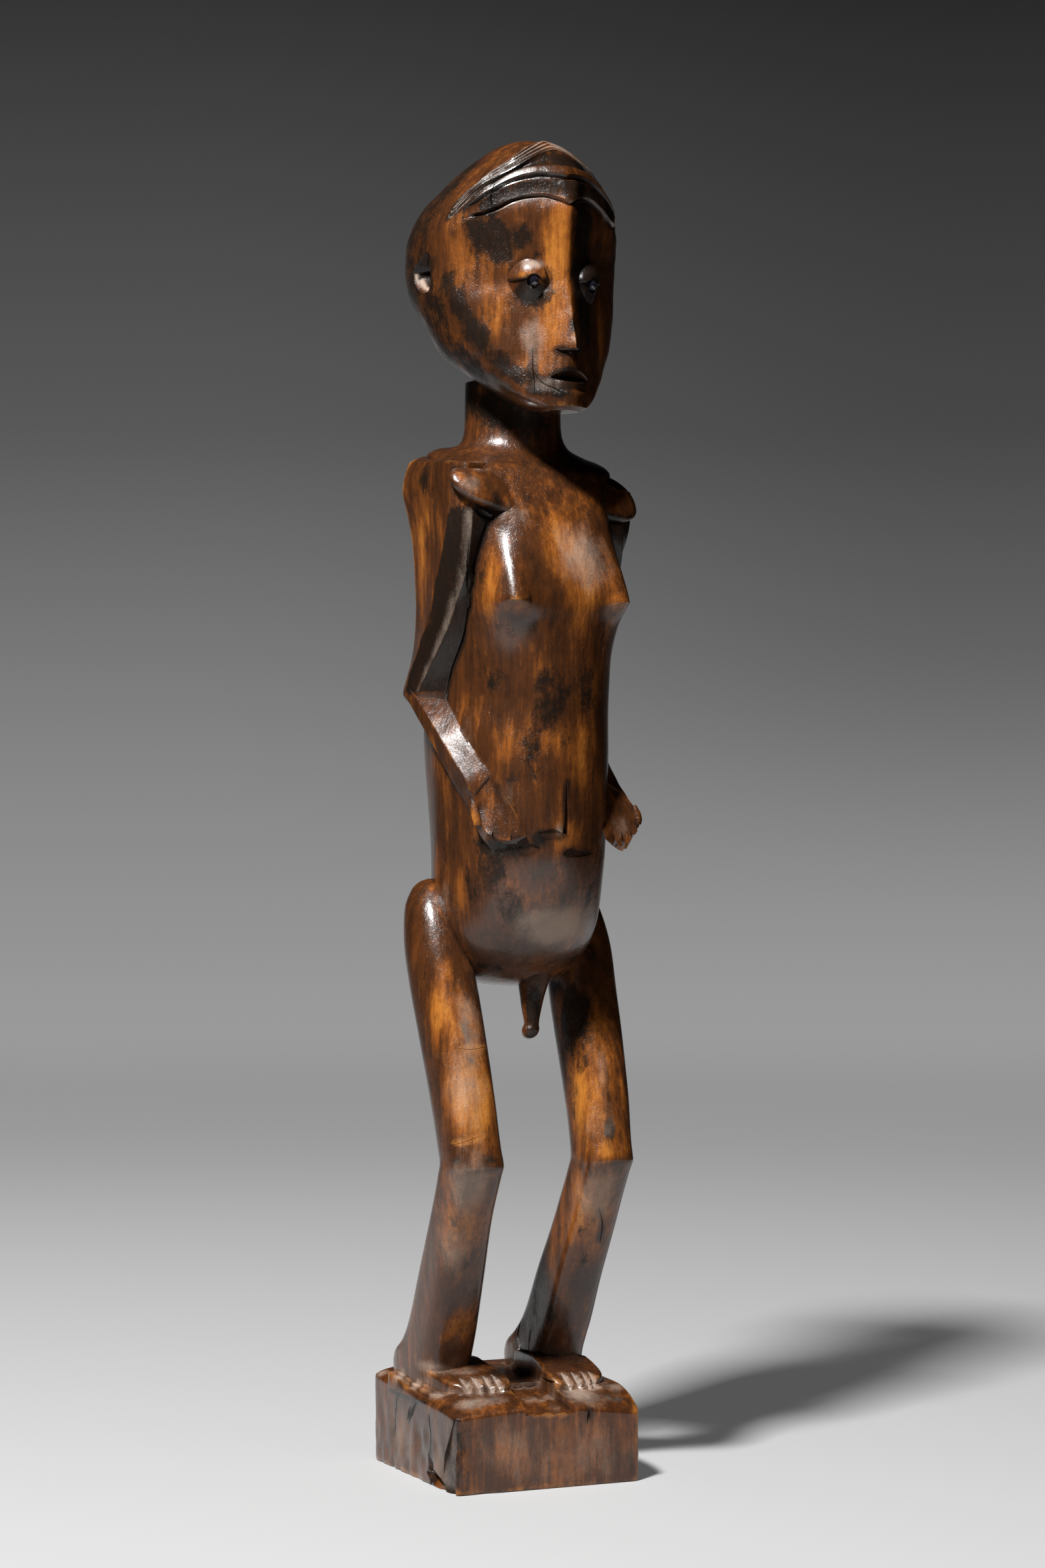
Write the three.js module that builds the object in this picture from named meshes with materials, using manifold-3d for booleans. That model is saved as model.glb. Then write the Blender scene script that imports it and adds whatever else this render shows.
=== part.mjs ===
// A standing wooden figure from the Ubangi region, carved with its block from one log,
// with a small glass bead set in each eye. Millimetres, +Z up, the figure faces -Y.
// The origin is the middle of the block's underside.

import * as THREE from 'three';
import { mergeVertices } from 'three/addons/utils/BufferGeometryUtils.js';
import Module from 'manifold-3d';

const wasm = await Module();
wasm.setup();

// Driving dimensions
const figureHeight = 598;
const hipHeight = 222;
const kneeHeight = 143;
const nippleHeight = 390;
const eyeHeight = 528;
const eyeApart = 13.4;
const footGround = 39.5;
const beadRadius = 2.2;
const beadGap = 0.3;

// Shape helpers

// Smooth curve through the rows of a table, whose first column rises. Each other column
// is a cubic Hermite curve with limited slopes, so that it never overshoots its rows.
function track(rows) {
  const columns = rows[0].length;
  const slope = rows.map((row, i) => row.map((value, c) => {
    if (i === 0 || i === rows.length - 1) return 0;
    const before = (value - rows[i - 1][c]) / (row[0] - rows[i - 1][0]);
    const after = (rows[i + 1][c] - value) / (rows[i + 1][0] - row[0]);
    return before * after <= 0 ? 0 : (2 * before * after) / (before + after);
  }));
  return (at) => {
    let i = 0;
    while (i < rows.length - 2 && at > rows[i + 1][0]) i += 1;
    const span = rows[i + 1][0] - rows[i][0];
    const t = THREE.MathUtils.clamp((at - rows[i][0]) / span, 0, 1);
    const result = [at];
    for (let c = 1; c < columns; c += 1) {
      result.push(
        (2 * t ** 3 - 3 * t ** 2 + 1) * rows[i][c] + (t ** 3 - 2 * t ** 2 + t) * span * slope[i][c]
        + (3 * t ** 2 - 2 * t ** 3) * rows[i + 1][c] + (t ** 3 - t ** 2) * span * slope[i + 1][c],
      );
    }
    return result;
  };
}

// Closed solid whose skin runs through rings of points, each with the same count.
function skin(rings) {
  const count = rings[0].length;
  const middle = (ring) => ring.reduce((sum, p) => sum.add(p), new THREE.Vector3()).divideScalar(count);
  const points = [...rings.flat(), middle(rings[0]), middle(rings.at(-1))];
  const first = rings.length * count;
  const index = [];
  for (let k = 0; k < count; k += 1) {
    const next = (k + 1) % count;
    for (let r = 0; r < rings.length - 1; r += 1) {
      const a = r * count;
      const b = a + count;
      index.push(a + k, a + next, b + next, a + k, b + next, b + k);
    }
    const top = (rings.length - 1) * count;
    index.push(first, next, k, first + 1, top + k, top + next);
  }
  const geometry = new THREE.BufferGeometry();
  geometry.setAttribute('position', new THREE.Float32BufferAttribute(points.flatMap((p) => p.toArray()), 3));
  geometry.setIndex(index);
  return solid(geometry);
}

function solid(geometry) {
  const bare = new THREE.BufferGeometry();
  bare.setAttribute('position', geometry.attributes.position);
  bare.setIndex(geometry.index ?? null);
  const welded = mergeVertices(bare, 1e-4);
  return new wasm.Manifold(new wasm.Mesh({
    numProp: 3,
    vertProperties: Float32Array.from(welded.attributes.position.array),
    triVerts: Uint32Array.from(welded.index.array),
  }));
}

// Level oval ring: half-width either side of x, from y = front to y = back. An exponent
// squares the corners of the front or the back: 2 is an ellipse and 4 nearly a rounded box.
function oval(count, x, z, halfWidth, front, back, frontPower, backPower = frontPower, bend = (p) => p) {
  const y = front * 0.5 + back * 0.5;
  const ring = [];
  for (let k = 0; k < count; k += 1) {
    const turn = (k / count) * 2 * Math.PI;
    const across = Math.sin(turn) / halfWidth;
    const along = Math.cos(turn) / ((back - front) / 2);
    const exponent = along > 0 ? frontPower : backPower;
    const reach = (Math.abs(across) ** exponent + Math.abs(along) ** exponent) ** (-1 / exponent);
    ring.push(bend(new THREE.Vector3(x + reach * Math.sin(turn), y - reach * Math.cos(turn), z)));
  }
  return ring;
}

function levels(from, to, count) {
  return Array.from({ length: count }, (_, i) => from + ((to - from) * i) / (count - 1));
}

function joined(solids) {
  return solids.reduce((whole, one) => whole.add(one));
}

// Block: a twisted square with a humped top, which falls away in front of the toes

const blockCorners = { frontLeft: [-45.8, -44.0], frontRight: [42.3, -50.1], backRight: [45.8, 44.0], backLeft: [-42.3, 50.1] };
const cornerTops = { frontLeft: 33.8, frontRight: 30.7, backRight: 39.5, backLeft: 38.9 };
const frontFall = 24;
const sideRoll = 9;
const channel = { middle: -1, halfWidth: 13, depth: 2.6, back: -6 };

// Height of the block's top at u across from the figure's right and v back from the front:
// a gentle hump, rolled down to the front and side edges, with a channel between the feet
function blockTop(u, v, x, y) {
  const { lerp, smoothstep } = THREE.MathUtils;
  const front = lerp(cornerTops.frontLeft, cornerTops.frontRight, u) + 1.2 * Math.sin(Math.PI * u);
  const hump = footGround + 1 + 1.5 * v;
  const fall = Math.max(0, 1 - (v * 92) / frontFall) ** 2.2;
  const crown = lerp(hump, front, fall);
  const leftEdge = lerp(cornerTops.frontLeft, cornerTops.backLeft, v);
  const rolled = lerp(leftEdge, crown, smoothstep(u * 88, -sideRoll, sideRoll) * 2 - 1);
  const cut = 1 - smoothstep(Math.abs(x - channel.middle), channel.halfWidth - 3, channel.halfWidth);
  return rolled - channel.depth * cut * (1 - smoothstep(y, channel.back - 8, channel.back));
}

function block() {
  const steps = 12;
  const corner = Object.values(blockCorners).map(([x, y]) => new THREE.Vector3(x, y, 0));
  const at = (u, v) => corner[0].clone().lerp(corner[1], u).lerp(corner[3].clone().lerp(corner[2], u), v);
  const edge = [];
  for (let k = 0; k < steps; k += 1) edge.push([k / steps, 0]);
  for (let k = 0; k < steps; k += 1) edge.push([1, k / steps]);
  for (let k = 0; k < steps; k += 1) edge.push([1 - k / steps, 1]);
  for (let k = 0; k < steps; k += 1) edge.push([0, 1 - k / steps]);
  const ring = (shrink, height) => edge.map(([u, v]) => {
    const a = 0.5 + (u - 0.5) * shrink;
    const b = 0.5 + (v - 0.5) * shrink;
    const p = at(a, b);
    p.z = height(a, b, p);
    return p;
  });
  const top = (u, v, p) => blockTop(u, v, p.x, p.y);
  return skin([
    ring(0.985, () => 0),
    ring(1, () => 1.5),
    ring(1, (u, v, p) => top(u, v, p) - 1),
    ...[0.98, 0.93, 0.86, 0.78, 0.66, 0.5, 0.3].map((shrink) => ring(shrink, top)),
  ]);
}

// Feet: low slabs with upright sides, which slope down from the instep to the toes

const footOutline = [
  // outward and forward of the foot's middle
  [15, -26], [15.5, -10], [16, 3], [15, 12], [13, 19], [8, 23.5], [-2, 26.5], [-10, 27], [-15, 25.5],
  [-14.5, 14], [-11.5, 2], [-10, -14], [-9, -28],
];
const instep = 51.5;
const toeTop = 44.2;

function foot(side, x, y) {
  const top = (out, ahead) => THREE.MathUtils.mapLinear(THREE.MathUtils.clamp(ahead, -2, 27), -2, 27, instep, toeTop)
    - 0.16 * Math.max(0, out);
  const ring = (shrink, height) => footOutline.map(([out, ahead]) => new THREE.Vector3(
    x + side * out * shrink,
    y - ahead * shrink,
    height(out * shrink, ahead * shrink),
  ));
  const rings = [
    ring(1, () => footGround - 4),
    ring(1, (out, ahead) => top(out, ahead) - 2),
    ring(0.92, (out, ahead) => top(out, ahead) - 0.3),
    ring(0.6, top),
  ];
  return skin(side > 0 ? rings.map((r) => r.toReversed()) : rings);
}

// Legs: thigh forward to the knee, then the shin back to the ankle

const legRows = [
  // height, x, half-width, front, back, exponent
  [38, 28.2, 12.6, -5, 39, 3.6],
  [50, 28.4, 12.8, -6, 39.5, 3.6],
  [57, 28.6, 12.6, -8, 31, 3.6],
  [66, 29, 12.4, -12, 23, 3.6],
  [90, 30.2, 12.2, -22, 10, 3.4],
  [120, 31.8, 12, -35, -6, 3.2],
  [kneeHeight, 32.6, 12, -46.5, -17, 3.4],
  [170, 33.4, 12.6, -41, -9, 2.9],
  [200, 34.3, 13.4, -33, 2, 2.6],
  [hipHeight, 35, 13.8, -26, 10, 2.4],
  [240, 35.8, 13, -19, 14.5, 2.3],
  [254, 35.8, 11.2, -12, 16, 2.2],
  [263, 35.3, 7.6, -5, 14, 2],
  [267.5, 35, 2.5, 1, 8, 2],
];

function leg(side) {
  const along = track(legRows);
  const heights = [38, 45, 52, 59, 70, 90, 112, 132, kneeHeight, 152, 175, 200, 220, 236, 248, 257, 263, 267.5];
  return skin(heights.map((z) => {
    const [, x, halfWidth, front, back, exponent] = along(z);
    return oval(20, side * x, z, halfWidth, front, back, exponent);
  }));
}

// Trunk and neck, with the two pointed breasts raised from the trunk's skin

const trunkRows = [
  // height, half-width, front, back, front exponent, back exponent, lean of the ring
  [219, 12, -20, 10, 2, 2, 0],
  [222, 21, -26, 19, 2, 2, 0],
  [227, 28, -32, 26, 2, 2, 0],
  [233, 32, -39, 29.5, 2, 2, 0],
  [240, 34.5, -45.5, 31.5, 2, 2, 0],
  [250, 35.8, -52, 33, 2, 2, 0],
  [265, 36.2, -57.5, 34, 2, 2, 0],
  [280, 36.6, -60.5, 34.5, 2, 2, 0],
  [300, 37.4, -61.5, 36.5, 2, 2, 0],
  [320, 38.4, -61.5, 38.5, 2, 2, 0],
  [340, 39, -60.5, 39.5, 2, 2, 0],
  [360, 39.5, -60, 39.5, 2.1, 2, 0],
  [380, 39.5, -60.5, 37, 2.5, 2.1, 0],
  [nippleHeight, 39, -61.5, 35.5, 2.9, 2.2, 0],
  [400, 38.5, -60, 34, 3, 2.3, 0],
  [415, 38, -56, 31, 3, 2.4, 0.03],
  [430, 38.5, -51.5, 27, 3, 2.5, 0.08],
  [442, 39.5, -47, 23, 3, 2.6, 0.16],
  [450, 40.5, -44, 19, 3, 2.8, 0.24],
  [454, 40.5, -42, 14, 3, 3, 0.27],
  [456.8, 38, -40, 11, 2.8, 2.8, 0.26],
  [458.6, 31, -35, 11.5, 2.4, 2.4, 0.2],
  [461.5, 24.5, -31.5, 13, 2.1, 2.1, 0.1],
  [466, 22.3, -30.2, 13.7, 2, 2, 0.03],
  [472, 21.6, -29.6, 13.6, 2, 2, 0],
  [500, 21.4, -29.5, 13.5, 2, 2, 0],
];
const nipple = { x: 30, z: nippleHeight, rise: 8, above: 34, below: 9, wide: 7.5 };

function raiseBreast(p) {
  if (p.y > -12) return p;
  const above = p.z - nipple.z;
  const fade = Math.max(0, 1 - Math.abs(above) / (above > 0 ? nipple.above : nipple.below)) ** 1.2;
  const lateral = Math.exp(-(((Math.abs(p.x) - nipple.x) / nipple.wide) ** 2));
  p.y -= nipple.rise * fade * lateral;
  p.x += Math.sign(p.x) * 1.2 * fade * lateral;
  return p;
}

function trunk() {
  const along = track(trunkRows);
  const heights = [219, 221, 225, 231, 239, 250, 265, 282, 302, 325, 348, 368, 379, 385, nipple.z, 396, 405, 415,
    425, 435, 443, 450, 454, 456.5, 458.5, 461, 464, 469, 498];
  return skin(heights.map((z) => {
    const [, halfWidth, front, back, frontPower, backPower, lean] = along(z);
    return oval(40, 0, z, halfWidth, front, back, frontPower, backPower, (p) => {
      raiseBreast(p);
      p.z += lean * (p.y + 10);
      return p;
    });
  }));
}

function member() {
  const points = [[-24, 236], [-25.5, 214], [-26.5, 206], [-26.8, 201], [-26, 197.5]];
  const radii = [5, 4.2, 3.4, 3.6, 1.8];
  return tube(points.map(([y, z]) => new THREE.Vector3(0, y, z)), radii.map((r) => [r, r]), 10);
}

// Head: a full skull whose front is cut to two planes that meet along the nose

const headRows = [
  // height, half-width, widest at y, back, nose ridge, angle of the face planes
  [474.5, 8, -54, -44, -66.5, 30],
  [476, 13, -50, -36, -69, 34],
  [480, 19, -45, -24, -68.5, 38],
  [485, 24.5, -39, -13, -66.8, 40],
  [492, 31, -31, -1, -66.2, 40],
  [497, 34.5, -26, 8, -66, 39],
  [500, 36.5, -23, 13, -65.8, 38],
  [505, 39, -19.5, 18, -65.5, 38],
  [513, 41.5, -15, 25, -65, 38],
  [522.5, 44.6, -11, 34, -64.5, 38],
  [531, 46, -9, 40.5, -63.4, 38],
  [541, 46.7, -8, 44, -63.8, 38],
  [551, 46.3, -8, 44, -65, 37],
  [560, 43.7, -8, 42.5, -66.3, 36],
  [569, 39, -8.5, 38, -64, 34],
  [578, 31, -10, 30, -60, 31],
  [585.5, 23.5, -13, 22, -54, 28],
  [592.5, 15, -15, 10, -43, 22],
  [597, 7.5, -13, 0, -29, 12],
  [figureHeight, 3, -11, -6, -17, 5],
];

// How far the nose stands out in front of the ridge
const noseRows = [[474, 0], [497, 0.4], [500, 4.4], [505, 3.6], [513, 2], [531, 0], [600, 0]];

function head() {
  const along = track(headRows);
  const nose = track(noseRows);
  const heights = headRows.map(([z]) => z);
  const count = 44;
  return skin(heights.map((z) => {
    const [, halfWidth, widest, back, ridge, cut] = along(z);
    const slope = Math.tan(THREE.MathUtils.degToRad(cut));
    const ring = [];
    for (let k = 0; k < count; k += 1) {
      const turn = (k / count) * 2 * Math.PI;
      const sin = Math.sin(turn);
      const cos = Math.cos(turn);
      const depth = cos > 0 ? (widest - ridge) * 1.04 : back - widest;
      const round = (Math.abs(sin / halfWidth) ** 2.1 + Math.abs(cos / depth) ** 2.1) ** (-1 / 2.1);
      const lean = slope * Math.abs(sin) + cos;
      const plane = lean > 0.05 ? (widest - ridge) / lean : 1e3;
      const reach = (round ** -12 + plane ** -12) ** (-1 / 12);
      const out = k === 0 ? nose(z)[1] : 0;
      ring.push(new THREE.Vector3(reach * sin, widest - reach * cos - out, z));
    }
    return ring;
  }));
}

function ball(at, radii, detail = 12) {
  const sphere = new THREE.SphereGeometry(1, detail, detail / 2 + 2);
  sphere.scale(...radii);
  sphere.translate(...at);
  return solid(sphere);
}

const beadFront = -57.4;

function eyeDome(side) {
  return ball([side * eyeApart, -52, eyeHeight + 1.5], [8.2, 6, 9.4], 16);
}

// Mouth: an open almond; ears: hollow wells; both are cut from the head

function mouth() {
  return ball([0, -66, 487.5], [9, 8, 2.4], 12);
}

function earWell(side) {
  return ball([side * 48, -7, 541], [10, 10, 10], 12);
}

// Arms: a shoulder board that narrows to the elbow, a forearm across the side of the belly

const armRows = [
  // height, then x and y of the back corner, outer edge, ridge and front where it meets the trunk
  [349, [46, 9.5], [46.5, 1], [45, -8], [36, -19]],
  [354, [45.5, 9.5], [46, 2], [44, -9.5], [36, -21]],
  [364, [42.6, 8], [42.8, 3], [42, -14], [35, -27]],
  [376, [41.3, 7.5], [41, 3], [41, -19], [34, -33]],
  [400, [42, 8.5], [42, -13], [39.5, -30], [32, -41]],
  [425, [45, 10], [43.5, -28], [38, -38], [28, -46]],
  [442, [47.3, 10.5], [45.5, -34], [37, -41], [26, -46]],
];
const armTop = [[42.5, 9.5, 459.5], [44.5, -34, 449], [35, -40, 447], [24, -40, 450]];

function upperArm(side, drop) {
  const ring = (corners, height) => {
    const points = [[18, 4], ...corners, [18, -22]].map(([x, y], k) => new THREE.Vector3(side * x, y, height(k)));
    return side > 0 ? points.reverse() : points;
  };
  const along = track(armRows.map(([z, ...corners]) => [z, ...corners.flat()]));
  const pairs = (row) => [0, 1, 2, 3].map((k) => [row[1 + 2 * k], row[2 + 2 * k]]);
  const top = (k) => (k > 0 && k < 5 ? armTop[k - 1][2] - (k > 1 ? drop : 0) : [458, 0, 0, 0, 0, 452][k]);
  return skin([
    ...levels(349, 442, 10).map((z) => ring(pairs(along(z)), () => z)),
    ring(armTop, top),
  ]);
}

function shoulderKnob(side, z) {
  return ball([side * 36, -36, z], [10.4, 7.5, 9.5], 14);
}

// Rings carried along a path, each squared and turned so that one axis points out of the trunk
function tube(points, radii, sides = 10, exponent = 2) {
  const rings = points.map((p, i) => {
    const ahead = points[Math.min(i + 1, points.length - 1)].clone().sub(points[Math.max(i - 1, 0)]).normalize();
    const outward = new THREE.Vector3(p.x, p.y + 11, 0).normalize();
    const across = ahead.clone().cross(outward).normalize();
    const rise = across.clone().cross(ahead);
    return Array.from({ length: sides }, (_, k) => {
      const turn = (k / sides) * 2 * Math.PI;
      const size = (Math.abs(Math.cos(turn)) ** exponent + Math.abs(Math.sin(turn)) ** exponent) ** (-1 / exponent);
      return p.clone()
        .addScaledVector(rise, radii[i][0] * size * Math.cos(turn))
        .addScaledVector(across, radii[i][1] * size * Math.sin(turn));
    });
  });
  return skin(rings);
}

const forearmPath = [
  // x, y and height, then half-thickness out of the trunk and half-width along it
  [40, 1, 352, 5, 8],
  [39.5, -3, 348, 7, 10],
  [38.2, -17, 334, 7.5, 9.5],
  [32.5, -32, 315, 8, 9],
  [29, -40, 303, 6.5, 9],
];
const rightHand = [[27.5, -43, 298, 5, 10], [26.5, -45, 291, 4.5, 11], [26, -45.5, 285.5, 4, 10]];
const leftHand = [[33, -43.5, 298, 6.5, 8.5], [35.5, -45, 291, 6.5, 8.5], [36, -45, 284, 4.5, 8.5]];

function forearm(side, hand, tuck) {
  const stations = [...forearmPath.map(([x, ...rest]) => [x - tuck, ...rest]), ...hand];
  const points = stations.map(([x, y, z]) => new THREE.Vector3(side * x, y, z));
  return tube(points, stations.map(([, , , thick, wide]) => [thick, wide]), 12, 2.6);
}

function bead(side, radius) {
  return ball([side * (eyeApart + 0.8), beadFront, eyeHeight + 1], [radius, radius, radius], 12);
}

const wood = new THREE.MeshStandardMaterial({ color: 0x6a3312, roughness: 0.35, metalness: 0 });
const glass = new THREE.MeshStandardMaterial({ color: 0x0b0c12, roughness: 0.08, metalness: 0 });

const carved = joined([
  block(),
  foot(-1, -23, 1),
  foot(1, 24, -6),
  leg(-1),
  leg(1),
  trunk(),
  member(),
  head(),
  eyeDome(-1),
  eyeDome(1),
  upperArm(-1, 0),
  upperArm(1, 8),
  shoulderKnob(-1, 443.5),
  shoulderKnob(1, 437),
  forearm(-1, rightHand, 0),
  forearm(1, leftHand, 2.5),
]);
const cuts = joined([
  mouth(),
  earWell(-1),
  earWell(1),
  bead(-1, beadRadius + beadGap),
  bead(1, beadRadius + beadGap),
]);

function mesh(name, manifold, material) {
  const { vertProperties, triVerts } = manifold.getMesh();
  const geometry = new THREE.BufferGeometry();
  geometry.setAttribute('position', new THREE.BufferAttribute(vertProperties, 3));
  geometry.setIndex(new THREE.BufferAttribute(triVerts, 1));
  geometry.computeVertexNormals();
  const made = new THREE.Mesh(geometry, material);
  made.name = name;
  return made;
}

const figure = new THREE.Group();
figure.add(mesh('figure', carved.subtract(cuts), wood));
figure.add(mesh('eye_bead_right', bead(-1, beadRadius), glass));
figure.add(mesh('eye_bead_left', bead(1, beadRadius), glass));

export default figure;
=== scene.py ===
import bpy
import numpy as np
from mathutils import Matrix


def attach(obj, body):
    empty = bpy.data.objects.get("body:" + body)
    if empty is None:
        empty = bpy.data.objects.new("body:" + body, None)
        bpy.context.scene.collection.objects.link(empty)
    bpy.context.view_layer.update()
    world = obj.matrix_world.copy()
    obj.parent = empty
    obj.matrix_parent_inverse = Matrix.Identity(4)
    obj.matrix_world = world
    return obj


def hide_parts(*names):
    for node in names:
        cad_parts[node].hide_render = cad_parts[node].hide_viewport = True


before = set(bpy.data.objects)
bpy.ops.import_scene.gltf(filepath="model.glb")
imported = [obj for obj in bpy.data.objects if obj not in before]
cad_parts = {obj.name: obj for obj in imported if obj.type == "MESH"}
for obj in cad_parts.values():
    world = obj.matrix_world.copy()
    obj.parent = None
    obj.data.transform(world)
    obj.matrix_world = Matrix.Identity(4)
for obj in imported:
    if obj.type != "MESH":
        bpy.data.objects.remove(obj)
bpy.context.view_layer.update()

MM = 0.001


# The block.
# A squared length of the same log as the figure, a little twisted to it, with an adzed
# top that humps under the feet, rolls down to the front edge, and has a shallow channel
# running forward between the feet. It rests on its flat underside.

BLOCK_CORNERS = np.array([[-45.8, -44.0], [42.3, -50.1], [45.8, 44.0], [-42.3, 50.1]])
# heights of the top's corners, the bow of its front edge, and how far it rolls down at the
# front and on the right, as shares of the block
FRONT_TOP_RIGHT, FRONT_TOP_LEFT, BACK_TOP_RIGHT, FRONT_BOW = 33.8, 30.7, 38.9, 3.2
FRONT_ROLL, SIDE_ROLL = 24 / 92, 10 / 88
FOOT_GROUND = 39.5


def smooth(low, high, x):
    """Smooth step: 0 below low, 1 above high, and a cubic ease between them."""
    t = np.clip((x - low) / (high - low), 0, 1)
    return t * t * (3 - 2 * t)


def mix(a, b, t):
    """Straight blend from a at t = 0 to b at t = 1."""
    return a + (b - a) * t


def waves(points, length, seed, count=7):
    """Slow unevenness of hand work: the mean of plane waves in seeded directions, each a
    sine of the distance along its direction over a wavelength near the one given. The
    mean is scaled up so that it reaches about 1."""
    draw = np.random.default_rng(seed)
    directions = draw.normal(size=(count, 3))
    directions /= np.linalg.norm(directions, axis=1)[:, None]
    spans = length * draw.uniform(0.7, 1.5, count)
    phases = draw.uniform(0, 2 * np.pi, count)
    return np.sin(points @ directions.T * (2 * np.pi / spans) + phases).mean(-1) * 1.6


def closed_skin(rings):
    """Closed surface through rings of points, an array of ring, place round it, x y z:
    quads between rings, and a fan to the mean of the first ring and of the last."""
    count, around = rings.shape[:2]
    points = np.concatenate([rings.reshape(-1, 3), rings[:1].mean(1), rings[-1:].mean(1)])
    here = np.arange(count * around).reshape(count, around)
    turned = np.roll(here, -1, axis=1)
    quads = np.stack([here[:-1], turned[:-1], turned[1:], here[1:]], -1).reshape(-1, 4)
    low, high = count * around, count * around + 1
    bottom = np.stack([turned[0], here[0], np.full(around, low)], -1)
    top = np.stack([here[-1], turned[-1], np.full(around, high)], -1)
    return points, [quads.tolist(), bottom.tolist(), top.tolist()]


def solid(name, rings):
    """Blender object from the closed surface through rings given in millimetres."""
    points, faces = closed_skin(rings)
    mesh = bpy.data.meshes.new(name)
    mesh.from_pydata((points * MM).tolist(), [], sum(faces, []))
    mesh.update()
    made = bpy.data.objects.new(name, mesh)
    bpy.context.scene.collection.objects.link(made)
    return made


def block_height(u, v):
    """Top of the block at u across and v back: a hump, eased down over the two rolls to the
    bowed front edge and to the figure's right edge."""
    front = mix(FRONT_TOP_RIGHT, FRONT_TOP_LEFT, u) + FRONT_BOW * np.sin(np.pi * np.clip(u, 0, 1))
    hump = FOOT_GROUND + 1 + 1.5 * v
    crown = mix(hump, front, np.clip(1 - v / FRONT_ROLL, 0, 1) ** 2.2)
    side = mix(FRONT_TOP_RIGHT, BACK_TOP_RIGHT, v)
    return mix(side, crown, np.clip(u / SIDE_ROLL, 0, 1) ** 0.6)


def block_rings():
    """Rings round a rounded square, a point of a square over its 44-norm, laid on the four
    corners by bilinear blend: up the sides, over a worn rim, then inwards over the top. The
    sides waver slowly, and low on the figure's right they are hacked by the adze."""
    around = 152
    t = np.arange(around) / around * 4
    side, along = t.astype(int), t % 1 * 2 - 1
    square = np.stack([
        np.choose(side, [along, 1, -along, -1]), np.choose(side, [-1, along, 1, -along]),
    ], -1).astype(float)
    square /= (np.abs(square) ** 44).sum(1, keepdims=True) ** (1 / 44)
    levels = [(0.985, 0.0), (0.997, 0.02), (1.0, 0.05)] + [(1.0, h) for h in np.linspace(0.1, 0.97, 17)]
    over = [(s, 1.0) for s in (0.998, 0.992, 0.984, 0.972)] + [(s, 1.0) for s in np.linspace(0.95, 0.03, 26)]
    rings = []
    for shrink, rise in levels + over:
        u, v = (square * shrink + 1).T / 2
        plan = (BLOCK_CORNERS[0] * ((1 - u) * (1 - v))[:, None] + BLOCK_CORNERS[1] * (u * (1 - v))[:, None]
                + BLOCK_CORNERS[2] * (u * v)[:, None] + BLOCK_CORNERS[3] * ((1 - u) * v)[:, None])
        top = block_height(u, v)
        worn = 0.55 * (np.clip((shrink - 0.972) / 0.026, 0, 1) ** 2 if rise == 1.0 else 1.0)
        rings.append(np.column_stack([plan, (top - worn) * rise]))
    rings = np.array(rings)
    sides = (rings[..., 2] > 1).astype(float)[..., None]
    outward = rings * [1, 1, 0] / np.linalg.norm(rings[..., :2], axis=-1, keepdims=True)
    waver = 0.35 * waves(rings * [1, 1, 0.4], 22, 3) + 0.12 * waves(rings, 6, 4)
    rings += outward * sides * waver[..., None]
    rough = smooth(0.0, -30.0, rings[..., 0] + 12) * smooth(30, 20, rings[..., 2])
    broad, narrow = waves(rings * [0.5, 1, 0.35], 9, 5), waves(rings * [0.5, 1, 0.3], 5, 6)
    hacked = np.clip(broad, 0, 1) + np.clip(narrow, 0, 1)
    return rings - outward * (rough * hacked * 0.9)[..., None]


members = [solid("block", block_rings())]


# The feet.
# Low slabs left standing on the block, with upright sides, sloping from the instep down
# to the toes, which are parted later by four lens-shaped gouges each.

FOOT_OUTLINE = np.array([
    # out from the foot's middle line, and ahead of its middle
    [15, -26], [15.5, -10], [16, 3], [15, 12], [13, 19.5], [8, 24], [-2, 26.8], [-10, 27.3], [-14.6, 25.8],
    [-15, 20], [-14.3, 12], [-12, 2], [-10.5, -14], [-9, -28],
])
INSTEP, TOE_TOP, FOOT_LOW, FOOT_ROOT = 51.5, 44.6, 38.5, 35.5
FEET = {-1: (-23.0, 1.0), 1: (24.0, -6.0)}


def closed_curve(points, count, ease):
    """Even places along a closed polygon, then a running mean of each with its two
    neighbours, repeated, which rounds the corners."""
    loop = np.concatenate([points, points[:1]])
    length = np.concatenate([[0], np.cumsum(np.linalg.norm(np.diff(loop, axis=0), axis=1))])
    at = np.linspace(0, length[-1], count, endpoint=False)
    curve = np.stack([np.interp(at, length, loop[:, k]) for k in range(loop.shape[1])], -1)
    for _ in range(ease):
        curve = (np.roll(curve, 1, 0) + 2 * curve + np.roll(curve, -1, 0)) / 4
    return curve


def pair(name, rings_of):
    """The same shape on the figure's right, side -1, and on its left, side 1."""
    return [solid(name, rings_of(side)) for side in (-1, 1)]


def on_foot(side, out, ahead, height):
    """Points given out from and ahead of the middle of the foot on this side."""
    return np.column_stack([FEET[side][0] + side * out, FEET[side][1] - ahead, height])


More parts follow.
